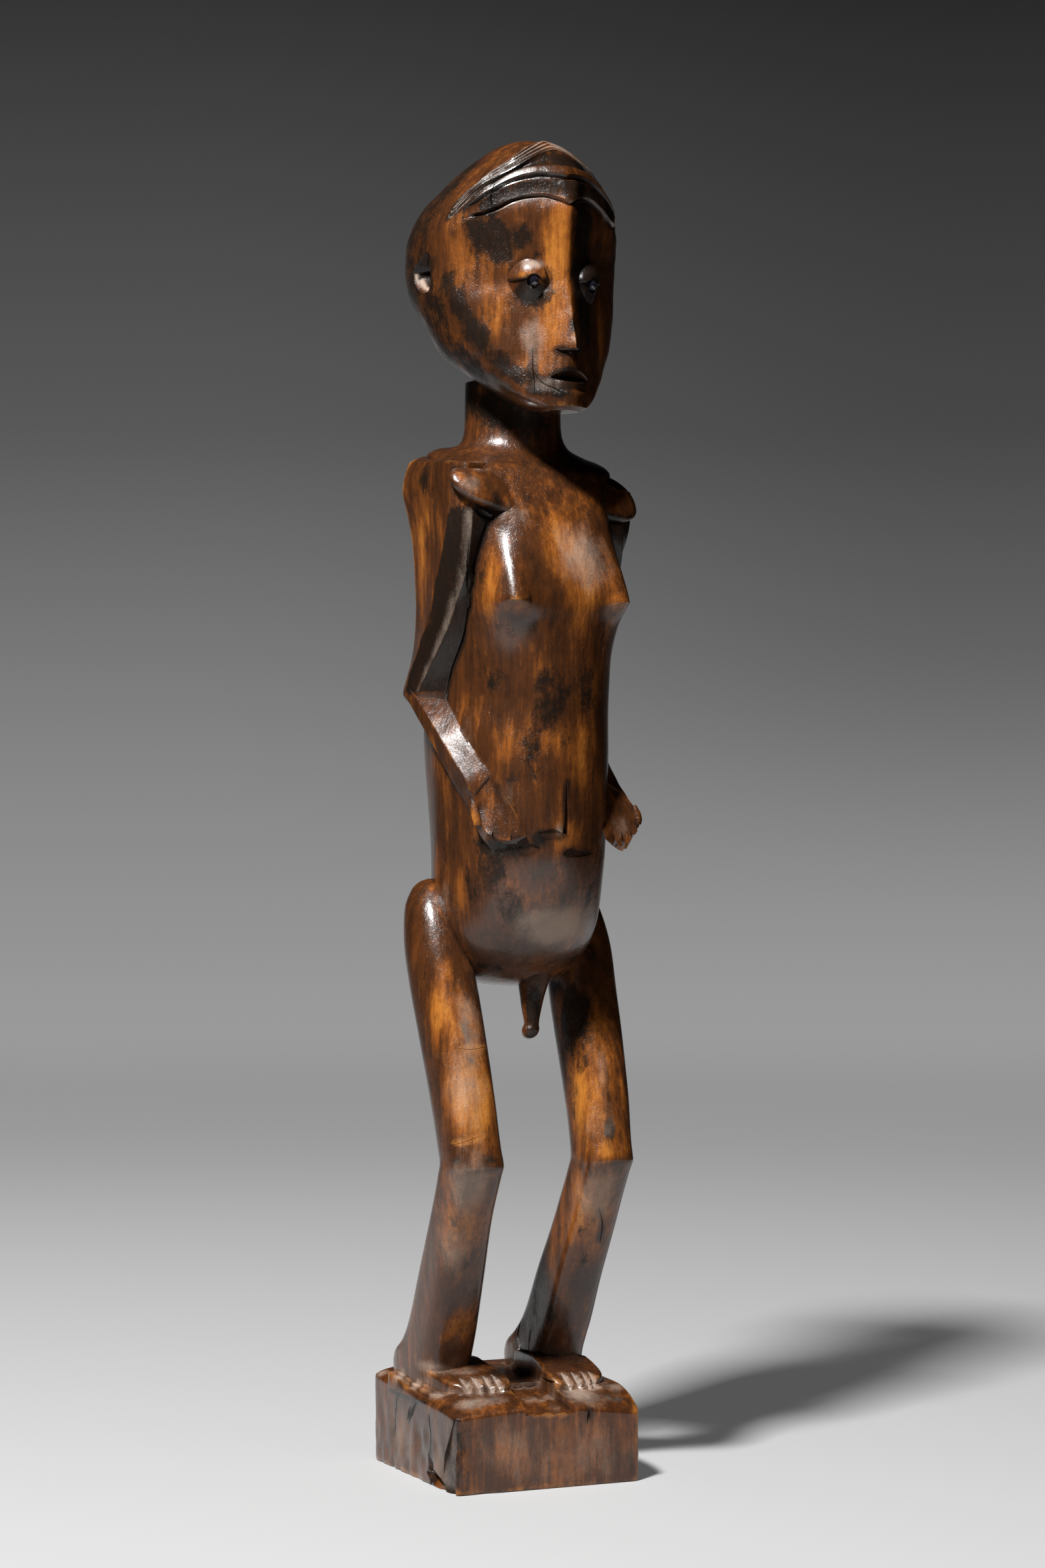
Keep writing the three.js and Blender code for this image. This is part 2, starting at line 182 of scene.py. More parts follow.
def foot_rings(side):
    """Rings of the foot's outline: up an upright wall, round its edge, and in over the
    top, whose height falls evenly from the instep to the toes and a little outwards."""
    outline = closed_curve(FOOT_OUTLINE, 90, 3)
    wall = [(1.02, None), (1.01, 6), (1.0, 1.7), (0.994, 0.8), (0.98, 0.3), (0.955, 0.08), (0.9, 0.0)]
    rings = []
    for shrink, drop in wall + [(inner, 0.0) for inner in np.linspace(0.84, 0.06, 13)]:
        out, ahead = (outline * shrink).T
        top = mix(INSTEP, TOE_TOP, np.clip((ahead + 2) / 29, 0, 1)) - 0.15 * np.clip(out, 0, None)
        top -= 1.6 * smooth(20, 27, ahead)
        height = np.full_like(out, FOOT_ROOT) if drop is None else np.maximum(top - drop, FOOT_LOW)
        rings.append(on_foot(side, out, ahead, height))
    rings = np.array(rings)
    return rings[:, ::-1] if side > 0 else rings


# Behind and beside each heel the block was stepped down with the adze in three low
# terraces, each a size against the foot and a height.

TERRACES = [(1.10, 46.4), (1.24, 44.7), (1.40, 43.0)]
TERRACE_ROOT = 36.0


def terrace_rings(side, size, height):
    """The foot's outline, enlarged, as a low slab whose top falls forwards and inwards into
    the block."""
    outline = closed_curve(FOOT_OUTLINE, 90, 3) * [size, 1 + (size - 1) * 0.55]
    wall = [(1.01, None), (1.0, 0.5), (0.99, 0.1)]
    rings = []
    for shrink, drop in wall + [(inner, 0.0) for inner in np.linspace(0.96, 0.2, 8)]:
        out, ahead = (outline * shrink).T
        top = height - 5.6 * smooth(-34, 14, ahead) - 3.0 * smooth(0, -14, out)
        top = np.full_like(out, TERRACE_ROOT) if drop is None else top - drop
        rings.append(on_foot(side, out, ahead, top))
    rings = np.array(rings)
    return rings[:, ::-1] if side > 0 else rings


for size, height in TERRACES:
    members += [solid("terrace", terrace_rings(side, size, height)) for side in FEET]
members += pair("foot", foot_rings)


# The legs.
# Thighs lean forward to a crisp knee edge and the shins lean back to the heels. The
# shins are squared with the knife, the thighs rounder, and each ends in a dome at the hip.

LEG = [
    # height, x, half-width, front, back, front power, back power
    [38, 28.2, 12.6, -5, 39, 3.4, 3.4],
    [47, 28.3, 12.8, -5.5, 40, 3.4, 3.4],
    [52, 28.4, 12.8, -6.5, 38, 3.4, 3.4],
    [58, 28.6, 12.6, -8.5, 30, 3.6, 3.2],
    [66, 29, 12.4, -12, 23, 3.8, 3.0],
    [90, 30.2, 12.2, -22, 10, 3.6, 2.8],
    [120, 31.8, 12, -35, -6, 3.4, 2.6],
    [138, 32.5, 12.1, -44.2, -15.2, 3.4, 2.6],
    [142.6, 32.6, 12.2, -46.6, -16.8, 3.4, 2.5],
    [143.8, 32.6, 12.2, -46.6, -16.8, 3.2, 2.5],
    [149, 32.8, 12.2, -45.4, -15.4, 3.0, 2.5],
    [170, 33.4, 12.6, -41, -9, 2.8, 2.5],
    [200, 34.3, 13.4, -33, 2, 2.5, 2.4],
    [222, 35, 13.8, -26, 10, 2.3, 2.3],
    [240, 35.8, 13, -19, 14.5, 2.2, 2.2],
    [254, 35.8, 11.2, -12, 16, 2.1, 2.1],
    [263, 35.3, 7.6, -5, 14, 2, 2],
    [266.6, 35, 4, 0, 9.5, 2, 2],
    [267.6, 35, 1, 4, 6, 2, 2],
]


def curves(rows):
    """Smooth curves through the rows of a table over its first column: cubic Hermite, with
    each slope the harmonic mean of its neighbours' so that no curve overshoots its rows."""
    at, value = np.array(rows, float)[:, 0], np.array(rows, float)[:, 1:]
    rise = np.diff(value, axis=0) / np.diff(at)[:, None]
    same = rise[:-1] * rise[1:] > 0
    inner = np.where(same, 2 * rise[:-1] * rise[1:] / np.where(same, rise[:-1] + rise[1:], 1), 0)
    slope = np.pad(inner, ((1, 1), (0, 0)))

    def curve(x):
        x = np.asarray(x, float)
        i = np.clip(np.searchsorted(at, x, side="right") - 1, 0, len(at) - 2)
        span = (at[i + 1] - at[i])[..., None]
        t = np.clip((x - at[i])[..., None] / span, 0, 1)
        return (mix(value[i], value[i + 1], t * t * (3 - 2 * t))
                + span * (t * (1 - t) ** 2 * slope[i] - t * t * (1 - t) * slope[i + 1]))
    return curve


def oval(turn, half_width, front, back, front_power, back_power):
    """Distance from an oval's middle at each turn from the front: a superellipse, the sum
    of the two directions' shares to a power being 1, with its own power front and back."""
    along = np.cos(turn) / ((back - front) / 2)
    across = np.sin(turn) / half_width
    power = np.where(along > 0, front_power, back_power)
    return (np.abs(across) ** power + np.abs(along) ** power) ** (-1 / power)


def level_rings(table, heights, around):
    """Level ovals from a table of half-width, front, back and the two powers."""
    half_width, front, back, front_power, back_power = (c[:, None] for c in curves(table)(heights).T)
    turn = np.arange(around) / around * 2 * np.pi
    reach = oval(turn, half_width, front, back, front_power, back_power)
    middle = (front + back) / 2
    return np.stack([reach * np.sin(turn), middle - reach * np.cos(turn), heights[:, None] + 0 * reach], -1)


def dented(rings, out):
    """The rings moved away from their own middles by the distances given."""
    away = rings - rings.mean(1, keepdims=True)
    return rings + away / (np.linalg.norm(away, axis=-1, keepdims=True) + 0.1) * out[..., None]


def leg_rings(side):
    """Level ovals of the leg table, moved out to the leg's own middle, with slow dents."""
    heights = np.concatenate([
        np.linspace(38, 60, 12), np.linspace(62.5, 137, 26),
        [138.6, 140, 141.2, 142.2, 143, 143.6, 144.4, 145.6, 147.4],
        np.linspace(150, 250, 32), [253, 256, 258.8, 261.3, 263.4, 265.1, 266.3, 267.1, 267.5],
    ])
    table = [[row[0], *row[2:]] for row in LEG]
    rings = level_rings(table, heights, 56)
    rings[..., 0] += side * curves([row[:2] for row in LEG])(heights)
    return dented(rings, 0.35 * waves(rings * [1, 1, 0.5], 24, 10 + side) * smooth(45, 60, rings[..., 2]))


members += pair("leg", leg_rings)


# The trunk and neck.
# One long barrel, oval at the belly, squarer across the chest, ending below in a rounded
# bowl. The chest carries two sharp breasts, each a ridge from the shoulder that stops in
# a ledge, and the shoulders lean down to the front around a round neck.

TRUNK = [
    # height, half-width, front, back, front power, back power, lean of the ring
    [219.4, 4, -12, 2, 2, 2, 0],
    [220, 11, -19, 9, 2, 2, 0],
    [222, 20, -26, 18, 2, 2, 0],
    [227, 28, -32, 26, 2, 2, 0],
    [233, 32, -39, 29.5, 2, 2, 0],
    [240, 34.5, -45.5, 31.5, 2, 2, 0],
    [250, 35.8, -52, 33, 2, 2, 0],
    [265, 36.2, -57.5, 34, 2, 2, 0],
    [280, 36.6, -60.5, 34.5, 2, 2, 0],
    [300, 37.4, -61.5, 36.5, 2, 2, 0],
    [320, 38.4, -61.5, 38.5, 2, 2, 0],
    [340, 39, -60.5, 39.5, 2, 2, 0],
    [360, 39.5, -60, 39.5, 2.1, 2, 0],
    [380, 39.5, -60.5, 37, 2.5, 2.1, 0],
    [390, 39, -61.5, 35.5, 2.9, 2.2, 0],
    [400, 38.5, -60, 34, 3, 2.3, 0],
    [415, 38, -56, 31, 3, 2.4, 0.03],
    [430, 38.5, -51.5, 27, 3, 2.5, 0.08],
    [442, 39.5, -47, 23, 3, 2.6, 0.16],
    [450, 40.5, -44, 19, 3, 2.8, 0.24],
    [454, 40.5, -42, 14, 3, 3, 0.27],
    [456.8, 38, -40, 11, 2.8, 2.8, 0.26],
    [458.6, 31, -35, 11.5, 2.4, 2.4, 0.2],
    [461.5, 24.5, -31.5, 13, 2.1, 2.1, 0.1],
    [466, 22.3, -30.2, 13.7, 2, 2, 0.03],
    [472, 21.6, -29.6, 13.6, 2, 2, 0],
    [500, 21.4, -29.5, 13.5, 2, 2, 0],
]
NIPPLE = {"middle": 2.0, "apart": 28.0, "z": 390.0, "rise": 8.5}


def trunk_rings():
    """Level ovals, with each breast added forwards: a bell across times a peak that fades
    slowly upwards and at once below, then each ring sheared so that it leans forwards."""
    heights = np.concatenate([
        [219.45, 219.7, 220.1, 220.7, 221.6, 222.9, 224.6, 226.8, 229.4, 232.4],
        np.linspace(236, 374, 50), np.linspace(376, 395, 16), np.linspace(397, 446, 22),
        np.linspace(448, 464, 18), np.linspace(466, 490, 7),
    ])
    rings = level_rings([row[:6] for row in TRUNK], heights, 136)
    beside_arm = smooth(330, 350, heights) * smooth(452, 436, heights)
    rings[..., 0] *= 1 - 0.08 * beside_arm[:, None] * smooth(0, -20, rings[..., 0])
    x, y, z = np.moveaxis(rings, -1, 0)
    above = z - NIPPLE["z"]
    fade = np.where(above > 0, np.clip(1 - above / 34, 0, 1) ** 1.25, np.clip(1 + above / 26, 0, 1) ** 2.4)
    width = 7.6 + 0.8 * np.clip(-above / 20, 0, 1)
    bell = np.exp(-np.abs((np.abs(x - NIPPLE["middle"]) - NIPPLE["apart"]) / width) ** 1.9)
    breast = NIPPLE["rise"] * fade * bell * (y < -12)
    rings[..., 1] -= breast
    rings[..., 0] += np.sign(x) * 0.14 * breast
    lean = curves([[row[0], row[6]] for row in TRUNK])(heights)
    rings[..., 2] += lean * (rings[..., 1] + 10)
    return dented(rings, 0.45 * waves(rings * [1, 1, 0.4], 30, 21))


members.append(solid("trunk", trunk_rings()))


# The member.
# A short round peg hanging from the bowl of the belly, waisted above a rounded tip.

MEMBER = np.array([
    # x, y, height, radius
    [4.0, -22, 236, 9.0], [3.6, -22.6, 229, 8.4], [2.6, -23.6, 222, 7.0], [1.4, -24.6, 215, 5.4],
    [0.6, -25.6, 209, 4.3], [0.2, -26.4, 205.6, 3.6], [0, -26.8, 203.2, 3.3], [-0.4, -26.8, 201, 3.9],
    [-0.7, -26.6, 198.8, 3.5], [-1, -26.3, 197.2, 2.3], [-1.1, -26.2, 196.6, 0.8],
])


def tube_rings(path, across, rise, half_wide, half_thick, around, power=2.0):
    """Superellipses carried along a path: at each point, half_wide along `across` and
    half_thick along `rise`."""
    turn = np.arange(around) / around * 2 * np.pi
    c, s = np.cos(turn), np.sin(turn)
    c, s = np.sign(c) * np.abs(c) ** (2 / power), np.sign(s) * np.abs(s) ** (2 / power)
    lift = s * half_thick[:, None]
    wide = across[:, None] * (c * half_wide[:, None])[..., None]
    return path[:, None] + wide + rise[:, None] * lift[..., None]


def member_rings():
    """Circles along the peg, lying across its path."""
    height = np.concatenate([np.linspace(236, 206, 14), np.linspace(205, 196.6, 14)])[::-1]
    x, y, radius = curves(np.column_stack([-MEMBER[:, 2], MEMBER[:, [0, 1, 3]]]))(-height).T
    path = np.stack([x, y, height], -1)
    level = np.tile([1.0, 0, 0], (len(y), 1))
    return tube_rings(path, level, np.tile([0, 1.0, 0.03], (len(y), 1)), radius, radius, 26)


members.append(solid("member", member_rings()))


# The head.
# A tall egg whose face is two flat planes meeting in a ridge that runs from the brow to
# the nose. The brow steps out over the face in an arch, with a flat strip, a raised
# glossy band and a band of fine lines above it.

HEAD = [
    # height, half-width, y of the widest place, back, ridge, slope of the face planes
    [472.8, 8, -54, -44, -64.4, 30],
    [474.6, 12.5, -50, -36, -67, 34],
    [479.2, 18.5, -45, -24, -67.4, 38],
    [485, 24.5, -39, -13, -66.8, 40],
    [492, 31, -31, -1, -66.2, 40],
    [497, 34.5, -26, 8, -66, 39],
    [500, 36.5, -23, 13, -65.8, 38],
    [505, 39, -19.5, 18, -65.5, 38],
    [513, 41.5, -15, 25, -65, 38],
    [522.5, 44.6, -11, 34, -64.5, 38],
    [531, 46, -9, 40.5, -63.4, 38],
    [541, 46.7, -8, 44, -63.8, 38],
    [551, 46.3, -8, 44, -65, 37],
    [560, 43.7, -8, 42.5, -66.3, 36],
    [569, 39, -8.5, 38, -64, 34],
    [578, 31, -10, 30, -60, 31],
    [585.5, 23.5, -13, 22, -54, 28],
    [592.5, 15, -15, 10, -43, 22],
    [597, 7.5, -13, 0, -29, 12],
    [598, 3, -11, -6, -17, 5],
]
NOSE = [[474, 0], [497, 0], [498.2, 0.3], [499.3, 4.6], [501, 4.5], [505, 3.6], [513, 2], [531, 0], [600, 0]]
BROW = [
    # turn from the front in degrees, then heights: under-edge, strip, groove, band, band top, hair, hair top
    [0, 563.0, 566.0, 573.4, 575.2, 580.4, 588.6, 594.5],
    [5, 565.0, 567.6, 573.7, 575.8, 580.5, 587.6, 593.6],
    [12, 566.8, 568.4, 573.8, 576.2, 580.2, 585.3, 592.0],
    [20, 566.2, 567.6, 573.2, 575.4, 579.5, 582.0, 589.2],
    [28, 564.3, 565.6, 571.5, 573.6, 577.3, 578.2, 585.2],
    [36, 561.3, 563.3, 568.5, 570.3, 573.6, 575.2, 581.8],
    [43, 559.5, 561.3, 564.9, 566.9, 569.6, 572.6, 579.0],
    [47, 559.0, 560.6, 563.2, 564.6, 566.8, 570.2, 577.0],
    [53, 558.0, 559.6, 561.6, 562.6, 563.6, 566.6, 573.4],
    [59, 556.5, 557.6, 559.2, 560.0, 560.6, 562.0, 568.0],
    [66, 554.0, 554.6, 555.4, 556.0, 556.6, 557.0, 560.5],
    [180, 540.0, 540.6, 541.4, 542.0, 542.6, 543.0, 546.5],
]


def head_plan(turn, z):
    """The head without its carving: round the widest place, a superellipse of power 2.1,
    cut by a plane on each side of the ridge; the 18-norm of the two rounds their edge. The
    ridge, an absolute value, is a hypotenuse with a small second side, larger at the mouth."""
    half_width, widest, back, ridge, slope = np.moveaxis(curves(HEAD)(z), -1, 0)
    s, c = np.sin(turn), np.cos(turn)
    depth = np.where(c > 0, (widest - ridge) * 1.04, back - widest)
    egg = (np.abs(s / half_width) ** 2.1 + np.abs(c / depth) ** 2.1) ** (-1 / 2.1)
    soft = mix(0.16, 0.02, smooth(486, 500, z))
    face = np.tan(np.radians(slope)) * (np.hypot(s, soft) - 0.6 * soft) + c
    face = np.where(face > 0.05, (widest - ridge) / np.maximum(face, 0.05), 1e3)
    reach = (egg ** -18.0 + face ** -18.0) ** (-1 / 18)
    return np.stack([reach * s, widest - reach * c, z + 0 * reach], -1)


# how far the brow's parts stand out, or for the last four are sunk in
BROW_STEP, STRIP_TILT, RAISED_BAND, HAIR_BAND, HAIR_GROOVE = 1.3, 0.20, 1.15, 0.75, 0.27
UNDERCUT, BAND_GROOVE, HAIR_GAP, STRIP_HOLLOW = 1.0, 0.85, 0.9, 0.35
HAIR_PITCH = 1.7


def off_front(turn):
    """The turn away from the front in degrees, 0 to 180, the same to both sides."""
    return np.degrees(np.abs((turn + np.pi) % (2 * np.pi) - np.pi))


def head_carving(points, turn, brow):
    """How far the carving stands out from the plain head: the brow's step, strip, band and
    hair band, each a plateau between two of the brow's curves; in the hair band, fine
    grooves, an even sine of the height above its lower edge; the rounded muzzle; and bells
    for the lower lip and the dip under it. The crown is cut down evenly."""
    x, y, z = np.moveaxis(points, -1, 0)
    angle = off_front(turn)
    edge, _, groove, band, band_top, hair, hair_top = brow
    near = smooth(60, 44, angle)
    over = smooth(edge - 0.15, edge + 0.35, z) * smooth(edge + 34, edge + 8, z)
    out = BROW_STEP * over * smooth(56, 43, angle)
    out += STRIP_TILT * np.clip(z - edge, 0, 6) * smooth(groove + 0.3, groove - 0.3, z) * near
    out -= STRIP_HOLLOW * np.sin(np.pi * np.clip((z - edge) / (groove - edge), 0, 1)) * near
    under = smooth(edge - 1.1, edge - 0.5, z) * smooth(edge + 0.2, edge - 0.1, z)
    out -= UNDERCUT * under * smooth(52, 44, angle)
    out -= BAND_GROOVE * smooth(groove - 0.2, groove + 0.5, z) * smooth(band + 0.2, band - 0.7, z) * near
    out += RAISED_BAND * smooth(band - 0.7, band + 0.5, z) * smooth(band_top + 0.4, band_top - 0.8, z) * near
    gap = np.clip((z - band_top) / np.maximum(hair - band_top, 0.5), 0, 1)
    out -= HAIR_GAP * np.sin(np.pi * gap) * near
    inside = smooth(hair - 0.2, hair + 0.3, z) * smooth(hair_top + 0.3, hair_top - 0.3, z)
    combed = HAIR_BAND + HAIR_GROOVE * np.sin((z - hair) * 2 * np.pi / HAIR_PITCH)
    out += inside * smooth(67, 62, angle) * combed
    muzzle = smooth(476.5, 480, z) * smooth(497, 488, z) * (y < -45)
    out += 0.5 * np.exp(-(((np.abs(x) - 8.5) / 6.0) ** 2)) * muzzle
    out -= 1.0 * smooth(555, 578, z)
    out += 0.35 * np.exp(-((z - 484.6) ** 2) - (x / 8.5) ** 4) * (y < -45)
    out -= 0.6 * np.exp(-((z - 481.8) ** 2) - ((x - 1) / 8.0) ** 4) * (y < -45)
    return out


# Heights of the level curves from the chin to under the eyes, and how many rows of points
# lie between one curve and the next, up to the top of the hair band.
CHIN_LEVELS, CROWN = (472.8, 480, 497, 501), 597.9
HEAD_ROWS = (23, 10, 38, 26, 3, 9, 5, 8, 6, 27)


def head_rings():
    """Rings of the plain head, dense at the front because the turn is t less a sine of t,
    and bent to follow the brow's curves: each height is a straight blend between two of
    the curves. They are moved out along their normals by the carving and by a small knob
    on the brow over the nose, and the nose is added forwards."""
    t = np.arange(216) / 216 * 2 * np.pi
    turn = t - 0.6 * np.sin(t)
    brow = curves(BROW)(off_front(turn)).T
    level = [np.full_like(turn, height) for height in (*CHIN_LEVELS, CROWN)]
    forehead = 552 - 18 * smooth(60, 120, off_front(turn))
    knots = np.array([*level[:-1], forehead, *brow, level[-1]])
    chin = np.linspace(0, 1, 10) ** 1.3
    between = [k + np.linspace(1 / rows, 1, rows) for k, rows in enumerate(HEAD_ROWS, 1)]
    crown = len(knots) - 1 - np.linspace(1, 0.0, 26)[1:] ** 1.5
    row = np.concatenate([chin, *between, crown])
    low = np.clip(row.astype(int), 0, len(knots) - 2)
    z = mix(knots[low], knots[low + 1], (row - low)[:, None])
    turn = np.broadcast_to(turn, z.shape)
    rings = head_plan(turn, z)
    normal = np.cross(np.roll(rings, -1, 1) - np.roll(rings, 1, 1), np.gradient(rings, axis=0))
    normal /= np.linalg.norm(normal, axis=-1, keepdims=True) + 1e-9
    out = head_carving(rings, turn, brow)
    front = np.abs(rings[..., 0]) / (2.2 + 5.0 * smooth(531, 500, z))
    nose = curves(NOSE)(z)[..., 0] * np.clip(1 - front, 0, 1) ** 1.15 * (np.cos(turn) > 0)
    knob = np.exp(-(((rings[..., 0] - 3.2) / 2.3) ** 4) - ((z - 569.0) / 4.6) ** 4)
    slow = 0.4 * waves(rings, 32, 31) + 0.12 * waves(rings, 9, 32)
    rings = rings + normal * (out + 0.7 * knob + slow)[..., None]
    rings[..., 1] -= nose
    rings[..., 0] *= 1 - 0.035 * smooth(10, 34, rings[..., 0])
    return rings


members.append(solid("head", head_rings()))

# The eyes are lens-shaped swellings of the face planes: a full dome above the corners,
# and below them a flatter facet that falls back to the cheek, with a ridge between.

FACE_SLOPE, FACE_RIDGE = np.radians(38), -63.4
EYE = {"s": 18.5, "z": 530.2, "half": 9.4, "up": 9.4, "down": 10.8, "height": 5.8, "sunk": 0.35}


def face_place(side, s, t, out):
    """A point on a face plane: s from the ridge along the plane, t its height and out its
    distance in front of the plane."""
    across, forward = np.cos(FACE_SLOPE), np.sin(FACE_SLOPE)
    x = side * (s * across + out * forward)
    return np.stack([x, FACE_RIDGE + s * forward - out * across, t + 0 * s], -1)


def eye_rings(side):
    """Rings of an almond, at shares of its outline from the rim to the middle. Its height
    above the plane is a quarter circle of the share above, and nearly straight below."""
    around = 72
    angle = np.arange(around) / around * 2 * np.pi
    rings = []
    for share in [1.0, 0.985, 0.96, 0.92, 0.87, 0.81, 0.74, 0.66, 0.57, 0.47, 0.36, 0.25, 0.14, 0.05]:
        s = EYE["half"] * np.cos(angle)
        bulge = np.maximum(1 - np.abs(np.cos(angle)) ** 1.9, 0) ** 0.62
        t = np.where(np.sin(angle) > 0, EYE["up"], -EYE["down"]) * bulge
        upper = np.sqrt(np.clip(1 - share**2, 0, 1))
        lower = (1 - share) ** 0.72
        over = smooth(-0.12, 0.12, np.sin(angle))
        height = EYE["height"] * mix(lower, upper, over)
        lean = -1.6 * (1 - share) ** 0.8
        along, up = EYE["s"] + lean + share * s, EYE["z"] + share * t
        rings.append(face_place(side, along, up, height - EYE["sunk"]))
    rim = face_place(side, EYE["s"] + s, EYE["z"] + t, -3.0 + 0 * s)
    rings = np.array([rim] + rings)
    return rings if side > 0 else rings[:, ::-1]


members += pair("eye", eye_rings)


# The arms.
# Upper arms are left joined to the trunk, three-cornered in section, with flat faces that
# meet in crisp edges. Forearms cross the belly slantwise from a ledge at the elbow and
# end in thin hands; a thick lobe hangs over the front of each shoulder.

UPPER_ARM = [
    # level, height at the back, lean, then x and y of the back, edge, ridge and crease corners
    [345, 345, 0, 42.0, 8, 43.0, 3.5, 42.0, -3.5, 37.0, -14],
    [350, 350, 0, 45.9, 9.5, 46.3, 6.4, 45.0, -3.8, 36.8, -16],
    [357, 357, 0, 44.6, 9, 45.7, 4.9, 43.8, -8.2, 36.6, -18.6],
    [366, 366, 0, 42.5, 8.4, 45.0, -0.7, 42.4, -15.6, 35.8, -24.5],
    [376, 376, 0, 41.2, 7.8, 44.3, -6.8, 40.8, -22.9, 35.2, -31],
    [388, 388, 0, 40.6, 7.8, 44.2, -14.9, 39.2, -29.8, 35.4, -35.6],
    [402, 402, 0, 40.9, 8.8, 44.2, -21.2, 38.2, -38.2, 34.4, -37.6],
    [414, 414, 0, 41.6, 9.5, 44.6, -27.8, 37.8, -42.0, 32.6, -40.5],
    [426, 426, 0, 43.0, 10, 44.9, -33.2, 37.5, -43.4, 28.5, -43.0],
    [436, 436, 0, 45.3, 10, 45.2, -36, 37.5, -41.6, 27, -40],
    [441, 441, 0, 46.4, 10, 45.3, -36.5, 37.5, -40.4, 26, -37],
    [451, 454.4, 0.072, 42.6, 10, 45.2, -36.5, 37, -38.5, 25, -34],
    [456, 457.4, 0.13, 36.6, 8.6, 39.5, -31, 33, -33, 24, -29],
]
ARM_INSIDE = np.array([[18, -22], [18, 4]])
EDGE_SHARES = np.array([0, 0.025, 0.07, 0.16, 0.32, 0.5, 0.68, 0.84, 0.93, 0.975])


def corner_rings(corners, ease=1):
    """Rings of a polygon at each level, an array of level, corner, x y z: each edge is
    divided finely near its ends, and neighbours are averaged, so corners are worn."""
    after = np.roll(corners, -1, axis=1)
    rings = mix(corners[:, :, None], after[:, :, None], EDGE_SHARES[:, None])
    rings = rings.reshape(len(corners), -1, 3)
    for _ in range(ease):
        rings = (np.roll(rings, 1, 1) + 2 * rings + np.roll(rings, -1, 1)) / 4
    return rings


SHOULDER_DROP = {-1: 0, 1: 8}


def upper_arm_rings(side):
    """Levels of the arm's table with its two hidden corners, mirrored for the left arm,
    whose front corners sit a little lower. The shoulder's top leans forwards."""
    level = np.concatenate([
        np.linspace(345, 376, 20), np.linspace(378, 440, 28), np.linspace(441.5, 450.5, 6),
        [451, 452.5, 454.5, 456],
    ])
    row = curves(UPPER_ARM)(level)
    plan = np.concatenate([row[:, 2:].reshape(-1, 4, 2), np.broadcast_to(ARM_INSIDE, (len(level), 2, 2))], 1)
    height = row[:, 0, None] + row[:, 1, None] * (plan[..., 1] - 10)
    height -= SHOULDER_DROP[side] * smooth(400, 442, level)[:, None] * np.array([0.1, 1.3, 1.1, 0.4, 0.1, 0])
    corners = np.concatenate([plan * [side, 1], height[..., None]], -1)
    rings = corner_rings(corners, 1)
    uneven = [waves(rings, 20, 41 + side), waves(rings, 20, 43 + side), 0 * rings[..., 0]]
    rings += 0.25 * np.stack(uneven, -1)
    return rings if side < 0 else rings[:, ::-1]


members += pair("upper_arm", upper_arm_rings)

FOREARM = {
    # level, then x, y, height of the inner, ridge, outer and under corners
    -1: [
        [0, 38, -5, 354.3, 46.2, 3.5, 353.0, 46.8, 8, 351, 40, 11, 346],
        [1, 36.2, -15.1, 347.6, 45.3, -14.9, 339.6, 45.7, -6.8, 337.8, 38, -3, 333],
        [2, 35.6, -26.3, 338.2, 44.1, -23.8, 330.6, 43.8, -16.6, 327.1, 37, -10, 323],
        [3, 34.2, -33.5, 329.9, 41.5, -32.1, 320.8, 40.9, -24.4, 316.2, 36, -19, 311],
        [4, 29.9, -42.1, 319, 38.0, -40.3, 309, 37.7, -32.5, 306.5, 34, -27, 302],
        [5, 28.4, -44.9, 314.5, 36.3, -41.4, 304.2, 36.1, -36.6, 300.7, 33, -31, 297],
        [6, 26.0, -48.9, 307.8, 35.2, -41.4, 299.6, 35.3, -38.6, 296.6, 32, -35, 294],
        [7, 22.8, -52.9, 300.5, 34.0, -44.0, 293.2, 33.9, -40.6, 291.0, 30, -37, 288],
        [8, 17.8, -57.8, 287.4, 32.2, -47.4, 288.6, 31.4, -43.2, 286.0, 25, -44, 279],
    ],
    1: [
        [0, 38, -5, 354.3, 46.2, 3.5, 353.2, 46.8, 8, 351, 40, 11, 346],
        [1, 36, -14, 346, 42.5, -11, 338, 43.5, -5, 336, 37, -2, 332],
        [2, 35, -23, 336, 39.9, -18, 328.5, 40.6, -13.5, 326, 36, -9, 322],
        [3, 34.5, -30, 327, 38.4, -27, 320.5, 38.9, -22, 317.5, 35, -17, 311],
        [4, 31, -38, 318, 38.4, -36.5, 311, 38.8, -31.5, 307.8, 35, -26, 303],
        [5, 28, -42.5, 311, 39.6, -42.8, 304.6, 40, -38.5, 302, 35, -33, 298],
        [6, 25, -46.8, 303, 42.3, -46.5, 298.6, 43, -43, 296.6, 36, -37.5, 293],
        [7, 22, -51.6, 293, 43.4, -47.8, 293, 43.8, -44.8, 292, 35, -41, 288],
        [8, 22.5, -54.5, 285.5, 41, -49.8, 288.3, 41, -46.4, 287.0, 33, -45, 281],
    ],
}
HAND_SCOOP = {-1: 1.0, 1: 0.6}
FINGER_BOW = {-1: 2.6, 1: 4.6}


